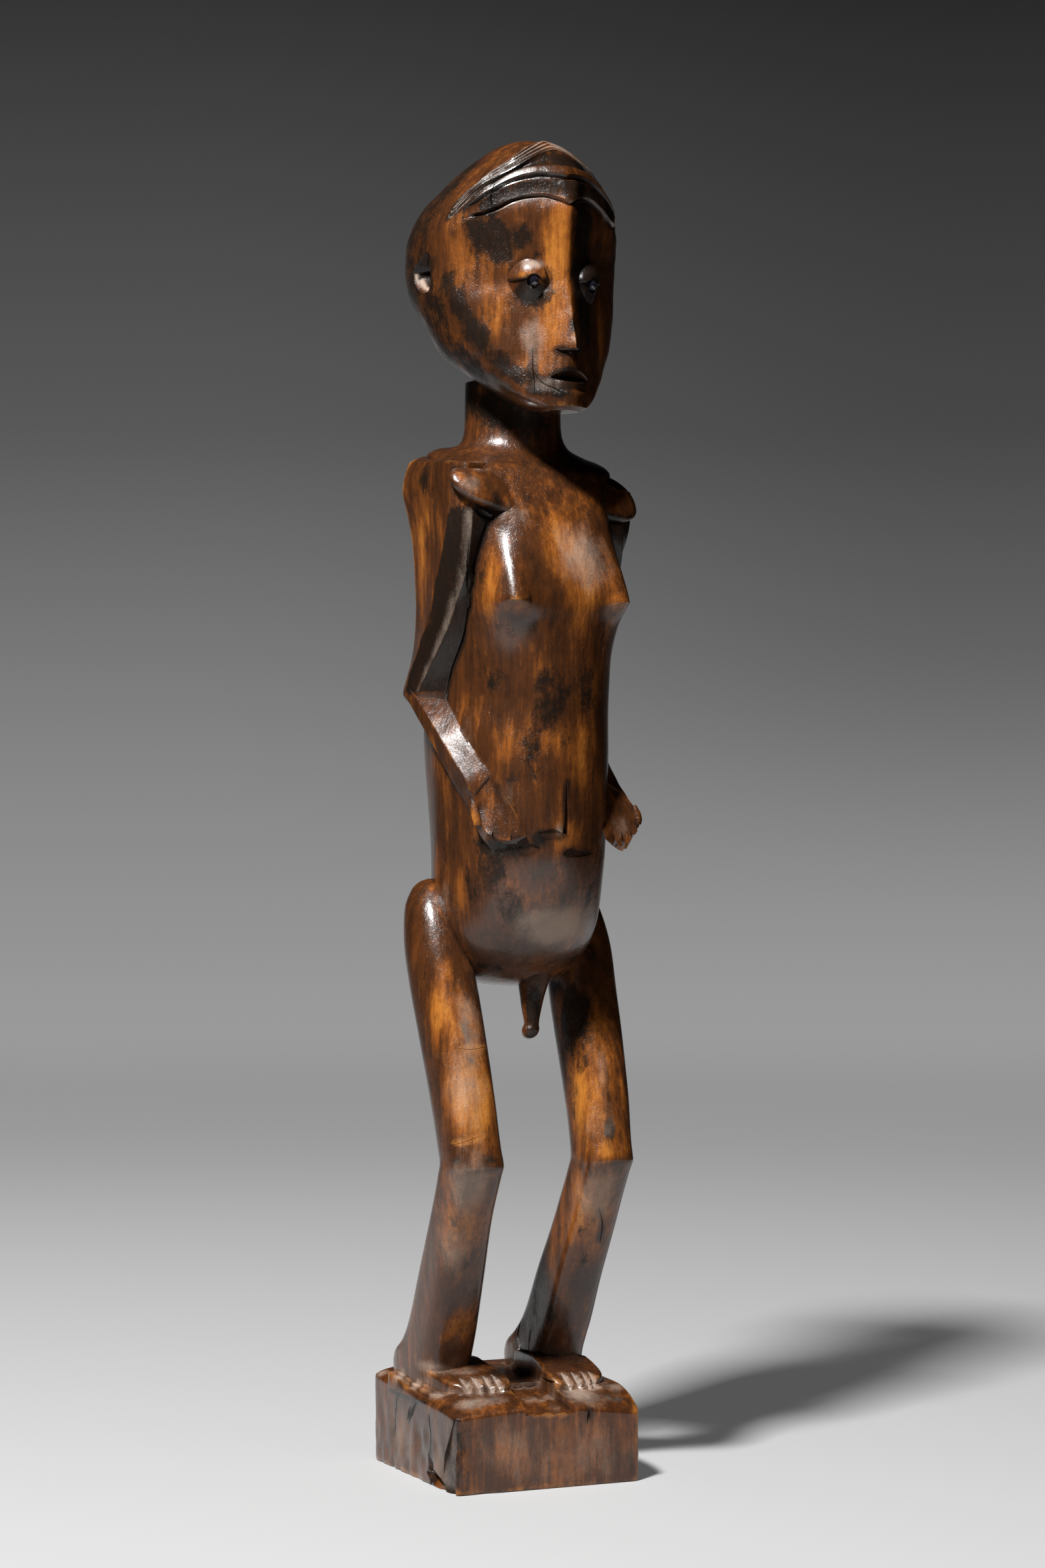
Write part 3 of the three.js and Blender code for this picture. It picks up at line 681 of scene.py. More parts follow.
def forearm_rings(side):
    """Four worn corners carried from the elbow to the fingertips. From the wrist on, the
    face between the first two corners, the back of the hand, is sunk into a flat-bottomed
    scoop, and the end is bowed down as the middle fingers are the longest."""
    level = np.concatenate([
        [0, 0.06, 0.2], np.linspace(0.4, 4.6, 26), [4.8, 4.88, 4.94, 5.0, 5.06, 5.2],
        np.linspace(5.4, 7.8, 16), [7.9, 7.96, 8],
    ])
    corners = curves(FOREARM[side])(level).reshape(-1, 4, 3)
    corners[..., 0] *= side
    rings = corner_rings(corners, 1)
    count = len(EDGE_SHARES)
    across, along = corners[:, 1] - corners[:, 0], np.gradient(corners[:, 0], axis=0)
    outward = side * np.cross(across, along)
    outward /= -np.linalg.norm(outward, axis=1, keepdims=True)
    depth = HAND_SCOOP[side] * smooth(4.9, 5.0, level) * smooth(7.6, 6.2, level)
    share = smooth(-0.02, 0.2, EDGE_SHARES) * smooth(0.94, 0.80, EDGE_SHARES)
    rings[:, :count] -= outward[:, None] * (depth[:, None] * share)[..., None]
    arc = np.sin(np.pi * EDGE_SHARES)
    bow = np.concatenate([arc, 0 * arc, arc * 0.8, 0 * arc])
    rings[..., 2] -= FINGER_BOW[side] * smooth(6.2, 8, level)[:, None] * bow
    uneven = [waves(rings, 11, 51 + side), 0 * rings[..., 0], waves(rings, 11, 53 + side)]
    rings += 0.2 * np.stack(uneven, -1)
    for end, drawn_in in ((slice(0, 2), [0.08, 0.02]), (slice(-3, None), [0.01, 0.04, 0.12])):
        rings[end] = mix(rings[end], rings[end].mean(1, keepdims=True), np.array(drawn_in)[:, None, None])
    return rings if side < 0 else rings[:, ::-1]


members += pair("forearm", forearm_rings)

THUMBS = {
    # x, y, height and half-width along each thumb
    -1: [[-35.0, -38.6, 306.5, 1.0], [-35.0, -39.6, 302.5, 1.7], [-34.9, -40.7, 298.5, 2.1],
         [-34.4, -41.8, 294.5, 2.2], [-34.0, -42.3, 291.9, 2.0], [-33.9, -42.4, 291.5, 1.4]],
    1: [[41.8, -45.2, 300.5, 1.0], [42.6, -46.0, 297, 1.8], [42.9, -46.4, 294, 2.0],
        [42.6, -46.6, 291.8, 1.7], [42.6, -46.6, 291.4, 1.0]],
}


def thumb_rings(side):
    """Rounded squares along the outer edge of the hand, ending in a flat cut."""
    path = np.array(THUMBS[side])[::-1]
    across = np.tile([0.8, 0.6 * side, 0.0], (len(path), 1))
    rise = np.tile([0.6 * side, -0.8, 0.12], (len(path), 1))
    return tube_rings(path[:, :3], -across, rise, path[:, 3], path[:, 3] * 1.05, 24, 3.4)


members += pair("thumb", thumb_rings)

SHOULDER_LOBE = {
    # x, y, height of the root inside the chest and of the tip, then the reach forwards, up
    # and down, and how blunt the tip is
    -1: ((-14, -35.0, 438.0), (-46.8, -40.0, 443.6), 8.4, 9.4, 11.0, 3.0),
    1: ((12, -31.0, 442.2), (48.2, -34.0, 435.6), 8.4, 12.0, 12.0, 5.0),
}


def lobe_rings(side):
    """A blunt horn from the chest to a rounded tip: egg-shaped sections, whose reach is a
    superellipse of the distance along it, squared below and sheared forwards there, so
    that the top slopes down to an overhanging lip."""
    root, tip, forwards, up, down, blunt = SHOULDER_LOBE[side]
    share = np.sin(np.linspace(0.0, 0.985, 26) * np.pi / 2)
    around = np.arange(56) / 56 * 2 * np.pi
    share, around = np.meshgrid(share, around, indexing="ij")
    r = np.clip(1 - share ** blunt, 0, 1) ** 0.53
    c, s = np.cos(around), np.sin(around)
    middle = mix(np.array(root, float), np.array(tip, float), share[..., None])
    y = -forwards * r * np.sign(c) * np.abs(c) ** np.where(s > 0, 1.0, 0.72)
    z = np.where(s > 0, up, down) * r * np.sign(s) * np.abs(s) ** np.where(s > 0, 0.9, 0.72)
    rings = middle + np.stack([0 * y, y + 0.55 * z, z], -1)
    rings += 0.25 * waves(rings, 12, 61 + side)[..., None] * [0, 1, 0.5]
    return rings[:, ::-1] if side > 0 else rings


members += pair("lobe", lobe_rings)


# Joined: the figure is one piece of wood, so its masses are made one mesh.

def join(base, others, operation):
    """Union or difference of a base mesh and a collection of closed ones."""
    group = bpy.data.collections.new(operation.lower())
    for other in others:
        bpy.context.scene.collection.objects.unlink(other)
        group.objects.link(other)
    step = base.modifiers.new(operation.lower(), "BOOLEAN")
    step.operation, step.solver = operation, "MANIFOLD"
    step.operand_type, step.collection = "COLLECTION", group
    done = bpy.data.meshes.new_from_object(base.evaluated_get(bpy.context.evaluated_depsgraph_get()))
    base.modifiers.clear()
    base.data = done
    for other in others:
        bpy.data.objects.remove(other)
    bpy.data.collections.remove(group)


figure = members[0]
figure.name = "figure_carved"
join(figure, members[1:], "UNION")


# The carving that cuts into the wood: knife and gouge marks, made after the masses are
# one. Each is a closed sliver laid along the skin and taken away.

CUTS = {
    # each row: x, y, height, half-width and depth along the cut
    "armpit_right": [
        [-29, -44.5, 428, .4, .4], [-32.5, -41, 416, 1.0, 1.6], [-34.6, -38.4, 402, .8, 1.6],
        [-35.7, -36.3, 388, .7, 1.4], [-35.3, -31, 376, .6, 1.2], [-36.3, -20, 360, .5, .8],
        [-36.6, -15.5, 350, .3, .3],
    ],
    "armpit_left": [
        [29, -44.5, 422, .4, .4], [33, -41, 410, 1.0, 1.6], [34.9, -38, 396, .8, 1.6],
        [35.7, -33, 380, .7, 1.4], [36.3, -20, 360, .5, .8], [36.6, -15.5, 350, .3, .3],
    ],
    "lobe_hollow_right": [
        [-36, -41, 429, .5, .5], [-33, -42, 428, 2.0, 2.6], [-30, -44, 427, 1.8, 2.0],
        [-28, -45, 426, .4, .4],
    ],
    "mouth": [
        [-8.6, -61.6, 486.9, .2, .4], [-6, -63.2, 487.3, 1.7, 3.4], [-1, -66, 487.5, 2.9, 5.5],
        [4, -65, 487.5, 3.0, 5.5], [8.5, -62, 487.2, 1.8, 3.6], [11.4, -59.2, 486.7, .2, .4],
    ],
    "smile_right": [
        [-14.4, -54.6, 491.6, .2, .2], [-13.4, -56.6, 488.4, .4, .5], [-11.6, -59.4, 484.6, .5, .6],
        [-6.7, -63.7, 481.8, .5, .6], [-2.5, -67, 479.8, .3, .3],
    ],
    "face_crack": [
        [-13.8, -54.8, 500.4, .12, .2], [-13.7, -55.1, 493.5, .3, .8], [-13.6, -56.3, 486.1, .3, .8],
        [-14.6, -57.5, 480.1, .12, .2],
    ],
    "brow_crack": [
        [-28.3, -46.4, 572.5, .12, .2], [-29.5, -45.8, 565.5, .35, .9], [-27.4, -46.4, 558.6, .12, .2],
    ],
    "nose_under": [
        [-6.6, -61.6, 499.3, .3, .3], [-3.6, -63.6, 498.4, .9, 1.6], [0, -66, 498.0, 1.0, 2.0],
        [3.6, -63.9, 498.6, .9, 1.6], [6.8, -61.8, 500.2, .3, .3],
    ],
    "navel": [
        [-.3, -61.4, 311.6, .25, .3], [-.3, -61.4, 304, .7, 1.2], [-.2, -61.3, 296, 1.1, 2.2],
        [-.5, -61, 289, 1.7, 2.8], [-.6, -61, 288.2, 1.7, 2.8],
    ],
    "knee_crack_1": [
        [-40.3, -33.4, 194.3, .1, .1], [-33.8, -34.8, 193.4, .22, .3], [-24.4, -31, 194.2, .1, .1],
    ],
    "knee_crack_2": [
        [-45.1, -34.6, 151.4, .1, .1], [-40.2, -43.1, 154.3, .22, .3], [-30.7, -43.8, 156.8, .1, .1],
    ],
    "shin_crack": [
        [29.3, -35.4, 120.6, .1, .2], [33.5, -31.3, 111.5, .35, .5], [34.1, -27.7, 103.6, .1, .2],
    ],
    "arm_crack": [
        [-37.9, -41.2, 417, .15, .2], [-38.1, -39.6, 408, .4, .7], [-37.0, -37.6, 400, .4, .7],
        [-36.4, -36, 391, .15, .2],
    ],
    "side_mark_1": [[-44.2, 0.2, 34, .4, .5], [-44, 4.1, 29.4, 1.3, 1.5], [-43.3, 9.2, 24, .2, .2]],
    "side_mark_2": [[-44, 5.8, 31.5, .3, .3], [-43.7, 8.3, 28, 1.1, 1.2], [-43.3, 11, 24.5, .2, .2]],
    "side_mark_3": [[-45, -14, 31, .2, .2], [-45, -15.5, 24, .7, .6], [-45, -16, 14, .2, .2]],
    "side_mark_4": [[-44.2, 22, 33, .2, .2], [-43.8, 24, 25, .8, .7], [-43.6, 26, 15, .2, .2]],
    "front_mark": [[18.3, -48, 34.5, .4, .5], [17.6, -48.3, 31, .8, 1.0], [16.8, -48.6, 27.4, .2, .2]],
    "corner_flake": [
        [-44, -12, 5, .5, .5], [-44.2, -18, 4.5, 3.2, 2.0], [-44.6, -25, 2.5, 3.6, 2.4],
        [-45, -31, .5, 1.2, 1],
    ],
    "corner_notch": [
        [-44.4, -14, 14, .3, .3], [-44.4, -15.5, 9, 1.4, 1.5], [-44.4, -17, 3, 1.8, 2.0],
        [-44.4, -17.5, -1, 1.8, 2],
    ],
    "ankle_mark_1": [[13.8, 20, 66, .3, .3], [14.6, 19, 58, 1.3, 1.2], [14, 13, 50.5, .5, .5]],
    "ankle_mark_2": [[15.8, 25, 64, .3, .3], [15.8, 23, 56, 1.3, 1.2], [14.8, 20, 48, .5, .5]],
    "ankle_mark_3": [[15.6, 6, 62, .3, .3], [15.6, 6.5, 56, 1.0, .9], [15.6, 7, 50, .3, .3]],
}

# Where the gouge of each toe starts, and its steps from there in x, y and height with the
# half-width and depth.
TOES = [
    (-30.2, -15.4, 46.4), (-25.2, -17.0, 46.2), (-19.8, -17.8, 46.2), (-15.2, -18.0, 46.1),
    (15.6, -25.2, 46.4), (20.6, -25.6, 46.3), (25.8, -25.4, 45.8), (29.6, -24.8, 45.2),
]
TOE_CUT = [
    (0, 0, 0, .2, .2), (0.1, -4.4, -1.4, 2.05, 1.2), (0.2, -8.0, -3.4, 2.3, 1.4), (0.4, -9.2, -6.4, .7, .5),
]


def cut_rings(rows, normals=None, fine=7, flat=False):
    """Lozenges carried along a line on the skin: the half-width to each side, the depth
    inwards and a margin outwards, all eased between the rows by smooth curves. A flat cut
    has a floor nearly as wide as its mouth instead of a sharp bottom."""
    rows = np.array(rows, float)
    at = np.arange(len(rows))
    rows = curves(np.column_stack([at, rows]))(np.linspace(0, at[-1], fine * at[-1] + 1))
    path, half, depth = rows[:, :3], rows[:, 3:4], rows[:, 4:5]
    if normals is None:
        found = [figure.closest_point_on_mesh(place * MM) for place in path]
        path = np.array([place for _, place, _, _ in found]) / MM
        normals = np.array([normal for _, _, normal, _ in found])
        for _ in range(6):
            padded = np.pad(normals, ((1, 1), (0, 0)), mode="edge")
            normals = (padded[:-2] + 2 * padded[1:-1] + padded[2:]) / 4
        normals /= np.linalg.norm(normals, axis=1, keepdims=True)
    normals = np.broadcast_to(normals, path.shape)
    along = np.gradient(path, axis=0)
    side = np.cross(along, normals)
    side /= np.linalg.norm(side, axis=1, keepdims=True) + 1e-9
    margin = 0.5 + 0.5 * half
    if flat:
        mouth, floor = side * half, side * half * 0.9
        low, high = normals * depth, normals * margin
        ring = [-floor - low, -mouth + high, mouth + high, floor - low]
    else:
        ring = [-side * half, normals * margin, side * half, -normals * depth]
    return path[:, None] + np.stack(ring, 1)


cutters = [solid("cut_" + name, cut_rings(rows)) for name, rows in CUTS.items()]
toe_rows = [[[*np.add(start, step), half, depth] for *step, half, depth in TOE_CUT] for start in TOES]
toe_cuts = [cut_rings(rows) for rows in toe_rows]
cutters += [solid("toe", rings) for rings in toe_cuts]

# Scars with flat floors: three beside and below the navel slit, and the facet where the
# block's front corner has broken away on the figure's right.
SCARS = [
    [[-20.4, -53, 281.0, 0.7, 0.2], [-18, -54.5, 281.3, 3.2, 0.8], [-14, -57.3, 281.6, 2.2, 0.9],
     [-12, -58.2, 281.2, 0.6, 0.2]],
    [[-1.5, -60.5, 279.4, 0.5, 0.2], [2, -60.4, 279.8, 2.2, 0.7], [8, -59.5, 279.3, 1.5, 0.8],
     [14, -57, 279.8, 0.5, 0.2]],
    [[-12, -58.4, 287, 2.2, 0.4], [-6.5, -60.4, 288, 2.6, 0.8], [-2.5, -61.2, 287, 1.2, 0.4]],
    [[-45.4, -43.4, 34, 0.5, 0.2], [-45.3, -40, 24, 3.2, 0.9], [-45.1, -36.5, 12, 6.4, 1.5],
     [-45, -34.5, 0.3, 8.4, 1.9]],
]
cutters += [solid("scar", cut_rings(rows, flat=True)) for rows in SCARS]

# The fingers: slits between them cut straight through the thin edge of each hand, wider
# on the left hand, whose fingers stand apart.

FINGER_CUTS = [
    # the way each hand faces, then its slits
    ((-0.76, -0.64, 0.05), [
        [[-30.4, -49, 292, .15, 1.0], [-30.2, -48.6, 288.5, .6, 3.4], [-29.8, -48.2, 281, 1.3, 5.5]],
        [[-27.6, -51.6, 290, .1, .6], [-27.3, -51.4, 287, .3, 1.2], [-27.1, -51, 280, .8, 2.5]],
        [[-24.6, -54.3, 290.5, .15, 1.0], [-24.3, -54.1, 287, .5, 3.4], [-24.0, -53.9, 280, 1.2, 5.5]],
    ]),
    ((0.45, -0.89, 0.0), [
        [[28.4, -52.4, 288.5, .2, 3], [28.4, -52.2, 285.5, 1.2, 8], [28.6, -52, 277, 3.0, 9]],
        [[33.6, -51.4, 289.5, .2, 3], [33.6, -51.2, 286.5, 1.2, 8], [33.4, -51, 277, 3.2, 9]],
        [[38.2, -50.2, 291.5, .2, 3], [38.4, -50, 288.5, .9, 7], [39, -50, 279, 2.6, 9]],
        [[41.2, -48.6, 293.5, .2, 2], [41.8, -48.4, 290.8, .8, 6], [43.5, -48, 286, 2.4, 8]],
    ]),
]
for facing, slits in FINGER_CUTS:
    facing = np.array(facing) / np.linalg.norm(facing)
    cutters += [solid("slit", cut_rings(rows, facing) + facing * 1.5) for rows in slits]

# The channel between the feet: a flat adze cut, three shallow flutes wide, that opens
# through the front edge of the block.

CHANNEL = [
    # y, left and right edges, floor height
    [14, -8.4, 9.4, 39.4], [20, -8.4, 9.3, 38.5], [30, -10.2, 9.3, 37.0], [40, -11.8, 9.8, 34.8],
    [47, -12.6, 10.8, 33.0], [58, -13.4, 12, 30.6],
]
CHANNEL_LID = 44.0


def channel_rings():
    """Sections across the channel: a fluted floor, three half sines wide, and walls that
    open a little upwards."""
    ahead = np.linspace(14, 58, 30)
    left, right, ground = curves(CHANNEL)(ahead).T
    share = np.linspace(0, 1, 25)
    x = mix(left[:, None], right[:, None], share)
    flutes = 0.8 * np.abs(np.sin(np.pi * (3 * share + 0.08 * ahead[:, None]))) ** 0.7
    z = ground[:, None] - flutes + 0.25
    y = np.broadcast_to(-ahead[:, None], x.shape)
    high = np.full_like(ahead, CHANNEL_LID)
    lid = [np.stack([edge, -ahead, high], -1) for edge in (right + 0.8, left - 0.8)]
    return np.concatenate([np.stack([x, y, z], -1), np.stack(lid, 1)], 1)


cutters.append(solid("cut_channel", channel_rings()))

# The ears: D-shaped wells, deepest at their upright front edge. The eyes: a shallow round
# seat about each bead.

EAR_OUTLINE = np.array([
    # y and height
    [-18, 530.5], [-18.2, 544], [-15, 545.6], [-9, 542.8], [-3, 540], [0.3, 536.8], [-0.6, 532.8],
    [-5, 528.6], [-10, 526.8], [-15, 527],
])
EAR_MOUTH, EAR_FLOOR, EAR_FRONT, EAR_MIDDLE = 46.6, 35.0, -16.5, 541.5
SEAT_MIDDLE, SEAT_RADIUS = (14.2, -57.4, 529.0), 3.3


def ear_rings(side):
    """The outline carried inwards and drawn towards its front edge as it goes."""
    outline = closed_curve(EAR_OUTLINE, 48, 1)
    inwards = np.append(0, np.linspace(0, 1, 8))[:, None]
    y = mix(outline[:, 0], EAR_FRONT + (outline[:, 0] - EAR_FRONT) * 0.22, inwards)
    z = mix(outline[:, 1], EAR_MIDDLE + (outline[:, 1] - EAR_MIDDLE) * 0.4, inwards ** 1.1)
    x = side * mix(EAR_MOUTH, EAR_FLOOR, inwards) + 0 * y
    x[0] = side * 54
    rings = np.stack([x, y, z], -1)
    return rings if side > 0 else rings[:, ::-1]


def seat_rings(side):
    """A drum about the bead, square to the face plane."""
    turn = np.arange(32) / 32 * 2 * np.pi
    facing = np.array([side * np.sin(FACE_SLOPE), -np.cos(FACE_SLOPE), 0])
    level = np.array([side * np.cos(FACE_SLOPE), np.sin(FACE_SLOPE), 0])
    rim = (level * np.cos(turn)[:, None] + np.array([0, 0, 1]) * np.sin(turn)[:, None]) * SEAT_RADIUS
    out = np.array([-1.0, -0.8, 6.0])[:, None, None]
    rings = SEAT_MIDDLE * np.array([side, 1, 1]) + rim * np.array([0.85, 1, 1])[:, None, None] + facing * out
    return rings if side > 0 else rings[:, ::-1]


cutters += pair("ear", ear_rings) + pair("seat", seat_rings)
join(figure, cutters, "DIFFERENCE")


def shade_by_edges(mesh, degrees):
    """Smooth shading, with edges sharper than the angle left crisp."""
    mesh.shade_smooth()
    mesh.set_sharp_from_angle(angle=np.radians(degrees))


shade_by_edges(figure.data, 38)


# The wood's skin: oiled, handled dark hardwood, orange-brown where it is rubbed, nearly
# black where soot and oil have built up, with dust in the corners of the block. Painted
# shade is laid in too: black in the creases, partly grime, and black with the soot in the
# ear wells, on the neck under the head, on the face's left half, the right eye's lower
# facet and under the right hand. Painted light is laid in with the dust: pale sheen on the
# shins, belly, thigh, chest, cheek, shoulder, arms and brow, and the lit wall of the ears.
# What lies where is kept as six shares at each point of the mesh.

# each patch: x, y, height of its middle, reach sideways and upwards, strength
# Most patches are soot. Some also paint shade: the right eye's lower facet, which faces down; the face's left
# half, turned from the key; the neck, in the head's shadow; and the body under the right hand, in its shadow.
SOOT_AND_SHADE_PATCHES = np.array([
    [-28, -44, 549, 10, 10, 0.9], [-34, -40, 552, 5, 7, 0.7], [-17, -52, 548, 7, 6, 0.7],
    [-14, -55, 553, 4, 4, 0.5], [-22, -47, 541, 4, 4, 0.7], [-11, -55, 541, 3, 2, 0.8],
    # painted shade with soot on this line: the right eye's lower facet, at heights 523.5 and 524.5
    [-15, -57, 523.5, 10, 6, 1], [-20, -54, 524.5, 4, 4, 1], [-28, -46, 434, 4, 5, 0.8],
    [-9, -58, 533, 2, 6, 0.8], [-42, -28, 530, 4, 7, 1], [-40, -32, 522, 5, 7, 1],
    [-38, -35, 516, 5, 7, 1], [-35, -38, 509, 5, 6, 1], [-31, -41, 504, 5, 6, 1],
    [-28, -44, 498, 5, 5, 1], [-25, -46, 495, 5, 5, 1], [-22, -50, 490, 6, 4, 1],
    [-18, -53, 487, 6, 4, 0.9], [-14, -59, 481, 6, 3, 0.8], [-44, -21, 522, 5, 7, 0.6],
    [-41, -23, 512, 6, 8, 0.6], [-36, -28, 500, 7, 8, 0.6], [-31, -32, 492, 8, 7, 0.6],
    # painted shade with soot: the face's left half, at x 14 and 8 on this line
    [-28, -33, 489, 9, 8, 0.5], [14, -57, 529, 10, 12, 1], [8, -59, 529, 6, 16, 0.9],
    # painted shade with soot: the face's left half at x 12 and 9, and the head's shadow on the neck at height
    # 478 here and 470 on the next line
    [12, -57, 513, 7, 15, 0.7], [9, -58, 552, 9, 18, 0.95], [-16, -23, 478, 16, 9, 0.8],
    [-5, -29, 470, 16, 9, 0.8], [0, -67, 510, 2, 4, 1], [3, -64, 496, 2, 2, 0.8],
    [0, -65, 490, 7, 2, 1], [-5, -65, 480, 7, 2, 0.8], [0, -50, 586, 9, 2, 0.8],
    [-15, -49, 582, 9, 2, 0.5], [-16, -54, 570, 17, 3, 0.55], [-25, -49, 567, 6, 3, 0.8],
    [-37, -21, 570, 6, 8, 0.6], [-24, -17, 584, 6, 4, 0.4], [-41, 4, 563, 11, 18, 0.6],
    # painted shade with soot: the face's left half at x 12, height 531
    [-44, 11, 542, 9, 15, 0.5], [12, -59, 531, 8, 18, 0.6], [-46, -13, 444, 11, 8, 0.6],
    [-44, 10, 433, 3, 14, 0.5], [-41, 8, 392, 2, 9, 0.4], [-41, -37, 419, 5, 10, 0.95],
    [-41, -31, 406, 5, 10, 0.95], [-42, -24, 392, 5, 9, 0.95], [-42, -16, 378, 5, 9, 0.95],
    [-43, -13, 366, 4, 8, 0.95], [-44, -6, 356, 4, 5, 0.9], [-33, -42, 419, 3, 8, 0.95],
    [-36, -39, 406, 2, 10, 0.95], [-37, -34, 392, 2, 9, 0.95], [-37, -28, 376, 2, 9, 0.95],
    [-38, -18, 361, 3, 9, 0.95], [-39, -13, 353, 4, 4, 1], [-30, -43, 429, 3, 4, 0.9],
    [-29, -49, 410, 3, 9, 0.5], [-33, -45, 399, 3, 12, 0.5], [-13, -47, 436, 6, 4, 0.5],
    [-2, -47, 436, 3, 7, 0.5], [-5, -38, 450, 8, 4, 0.4], [5, -46, 439, 2, 3, 0.5],
    [-24, -54, 377, 7, 7, 0.5], [-9, -60, 376, 7, 8, 0.45], [-17, -61, 389, 6, 4, 0.4],
    [-31, -38, 363, 3, 7, 0.5], [-27, -45, 357, 7, 7, 0.55], [-7, -60, 346, 13, 15, 0.8],
    [-11, -58, 354, 4, 4, 0.8], [-15, -57, 323, 4, 12, 0.6], [-26, -47, 337, 6, 4, 0.5],
    [11, -58, 349, 6, 12, 0.55], [7, -60, 368, 4, 9, 0.4], [-24, -51, 312, 5, 6, 0.4],
    # painted shadow of the right hand with soot: the patch at height 283
    [0, -60, 360, 4, 6, 0.4], [-29, -43, 283, 8, 4, 0.95], [-23, -50, 281, 6, 3, 0.9],
    [-13, -58, 287, 5, 4, 0.9], [-34, -30, 281, 4, 5, 0.4], [-37, -13, 281, 4, 7, 0.6],
    [-28, -43, 270, 9, 13, 0.7], [-21, -45, 253, 8, 9, 0.6], [-32, -31, 261, 4, 12, 0.6],
    [36, -3, 278, 6, 2, 0.8], [16, -52, 261, 4, 12, 0.5], [-20, -27, 229, 8, 3, 0.7],
    [19, -32, 232, 8, 4, 0.7], [-5, -61, 312, 3, 6, 0.4], [-16, -56, 278, 4, 5, 0.5],
    [-1, -30, 208, 4, 18, 0.95], [21, -8, 218, 8, 4, 0.9], [-41, -15, 247, 6, 8, 0.3],
    [-48, -17, 224, 4, 12, 0.4], [-11, -11, 220, 2, 18, 0.5], [-36, -32, 202, 4, 8, 0.4],
    [-36, -36, 189, 3, 6, 0.35], [23, -24, 208, 9, 18, 0.85], [33, -23, 231, 4, 18, 0.7],
    [22, -8, 195, 3, 12, 0.6], [22, -30, 185, 5, 6, 0.5], [21, -28, 163, 2, 6, 0.6],
    [30, -44, 156, 4, 8, 0.6], [20, -35, 140, 4, 3, 0.7], [46, -30, 185, 2, 18, 0.6],
    [-43, -42, 146, 9, 2, 0.6], [-29, -46, 146, 7, 2, 0.6], [-38, -33, 116, 6, 8, 0.4],
    [-32, -26, 98, 4, 6, 0.5], [-22, -19, 83, 7, 6, 0.5], [-22, -37, 131, 2, 18, 0.5],
    [23, -29, 110, 2, 6, 0.6], [25, -24, 95, 8, 4, 0.5], [28, -32, 113, 2, 6, 0.4],
    [17, 3, 77, 4, 18, 0.7], [18, -11, 71, 8, 9, 0.6], [16, 20, 57, 4, 12, 0.9],
    [27, -42, 37, 14, 4, 0.45], [-30, -42, 38, 14, 3, 0.35], [-45, -37, 10, 9, 14, 0.65],
    [-41, -44, 25, 12, 9, 0.35], [-43, 25, 10, 6, 6, 0.5], [-45, -27, 18, 4, 9, 0.5],
    [-11, -17, 47, 9, 4, 0.8], [4, -7, 41, 9, 4, 0.7], [-2, -47, 15, 9, 6, 0.25],
    [33, -49, 10, 6, 6, 0.3], [-44, -13, 37, 6, 4, 0.3],
])
WARM = np.array([
    [-35, -40, 173, 12, 21, 0.9], [25, -40, 163, 11, 18, 0.5], [-35, -32, 113, 12, 27, 0.6],
    [25, -33, 116, 14, 27, 0.6], [3, -48, 15, 40, 18, 0.3], [-42, -2, 412, 5, 21, 0.9],
    [-45, -12, 431, 6, 12, 0.5], [-42, -16, 325, 4, 12, 0.5], [-45, -25, 211, 6, 15, 0.9],
    [-41, -23, 227, 4, 9, 0.6], [-39, -40, 173, 9, 18, 0.5], [21, -32, 173, 6, 15, 0.7],
    [39, -40, 173, 2, 9, 0.7], [28, -45, 147, 9, 4, 0.6], [-29, -14, 71, 7, 9, 0.6],
    [40, -6, 62, 9, 8, 0.5], [19, -11, 101, 3, 15, 0.5], [-31, -50, 402, 6, 18, 0.6],
    [2, -56, 414, 12, 18, 0.7], [7, -62, 390, 9, 15, 0.5], [-14, -57, 366, 9, 12, 0.3],
    [-37, -35, 537, 8, 15, 0.2], [-5, -61, 547, 7, 20, 0.95], [-6, -60, 515, 6, 20, 0.6],
    [-36, -33, 205, 9, 24, 0.6], [30, -30, 190, 9, 26, 0.3], [-6, -60, 565, 8, 3, 0.3],
    [-14, -56, 492, 8, 6, 0.3], [25, -46, 510, 4, 18, 0.6], [-18, -56, 532, 4, 2, 0.8],
    [-27, -44, 516, 8, 15, 0.45], [-18, -50, 574, 6, 2, 0.4], [-34, -4, 502, 6, 12, 0.2],
    [-44, -10, 376, 3, 9, 0.3], [-24, -50, 329, 6, 12, 0.5], [7, -60, 323, 6, 18, 0.6],
    [-7, -60, 329, 6, 6, 0.4], [-34, -25, 264, 4, 9, 0.5], [1, -61, 288, 9, 6, 0.5],
    [-12, -58, 280, 4, 3, 0.5], [-37, -4, 263, 4, 24, 0.4], [-37, -18, 304, 3, 18, 0.5],
    [37, -48, 285, 3, 3, 0.6], [-27, -48, 285, 8, 2, 0.8], [-36, -44, 295, 2, 5, 0.7],
    [-43, -43, 444, 2, 6, 0.6], [-39, -41, 433, 2, 2, 0.9], [-33, -30, 346, 3, 6, 0.3],
    [-44, -11, 37, 19, 4, 0.2], [-29, -41, 37, 16, 2, 0.2], [27, -43, 36, 16, 4, 0.1],
    [-3, -35, 36, 9, 4, 0.3], [33, -49, 22, 3, 9, 0.4], [-23, -62, 387, 9, 4, 0.5],
    [25, -62, 390, 5, 4, 0.5],
])
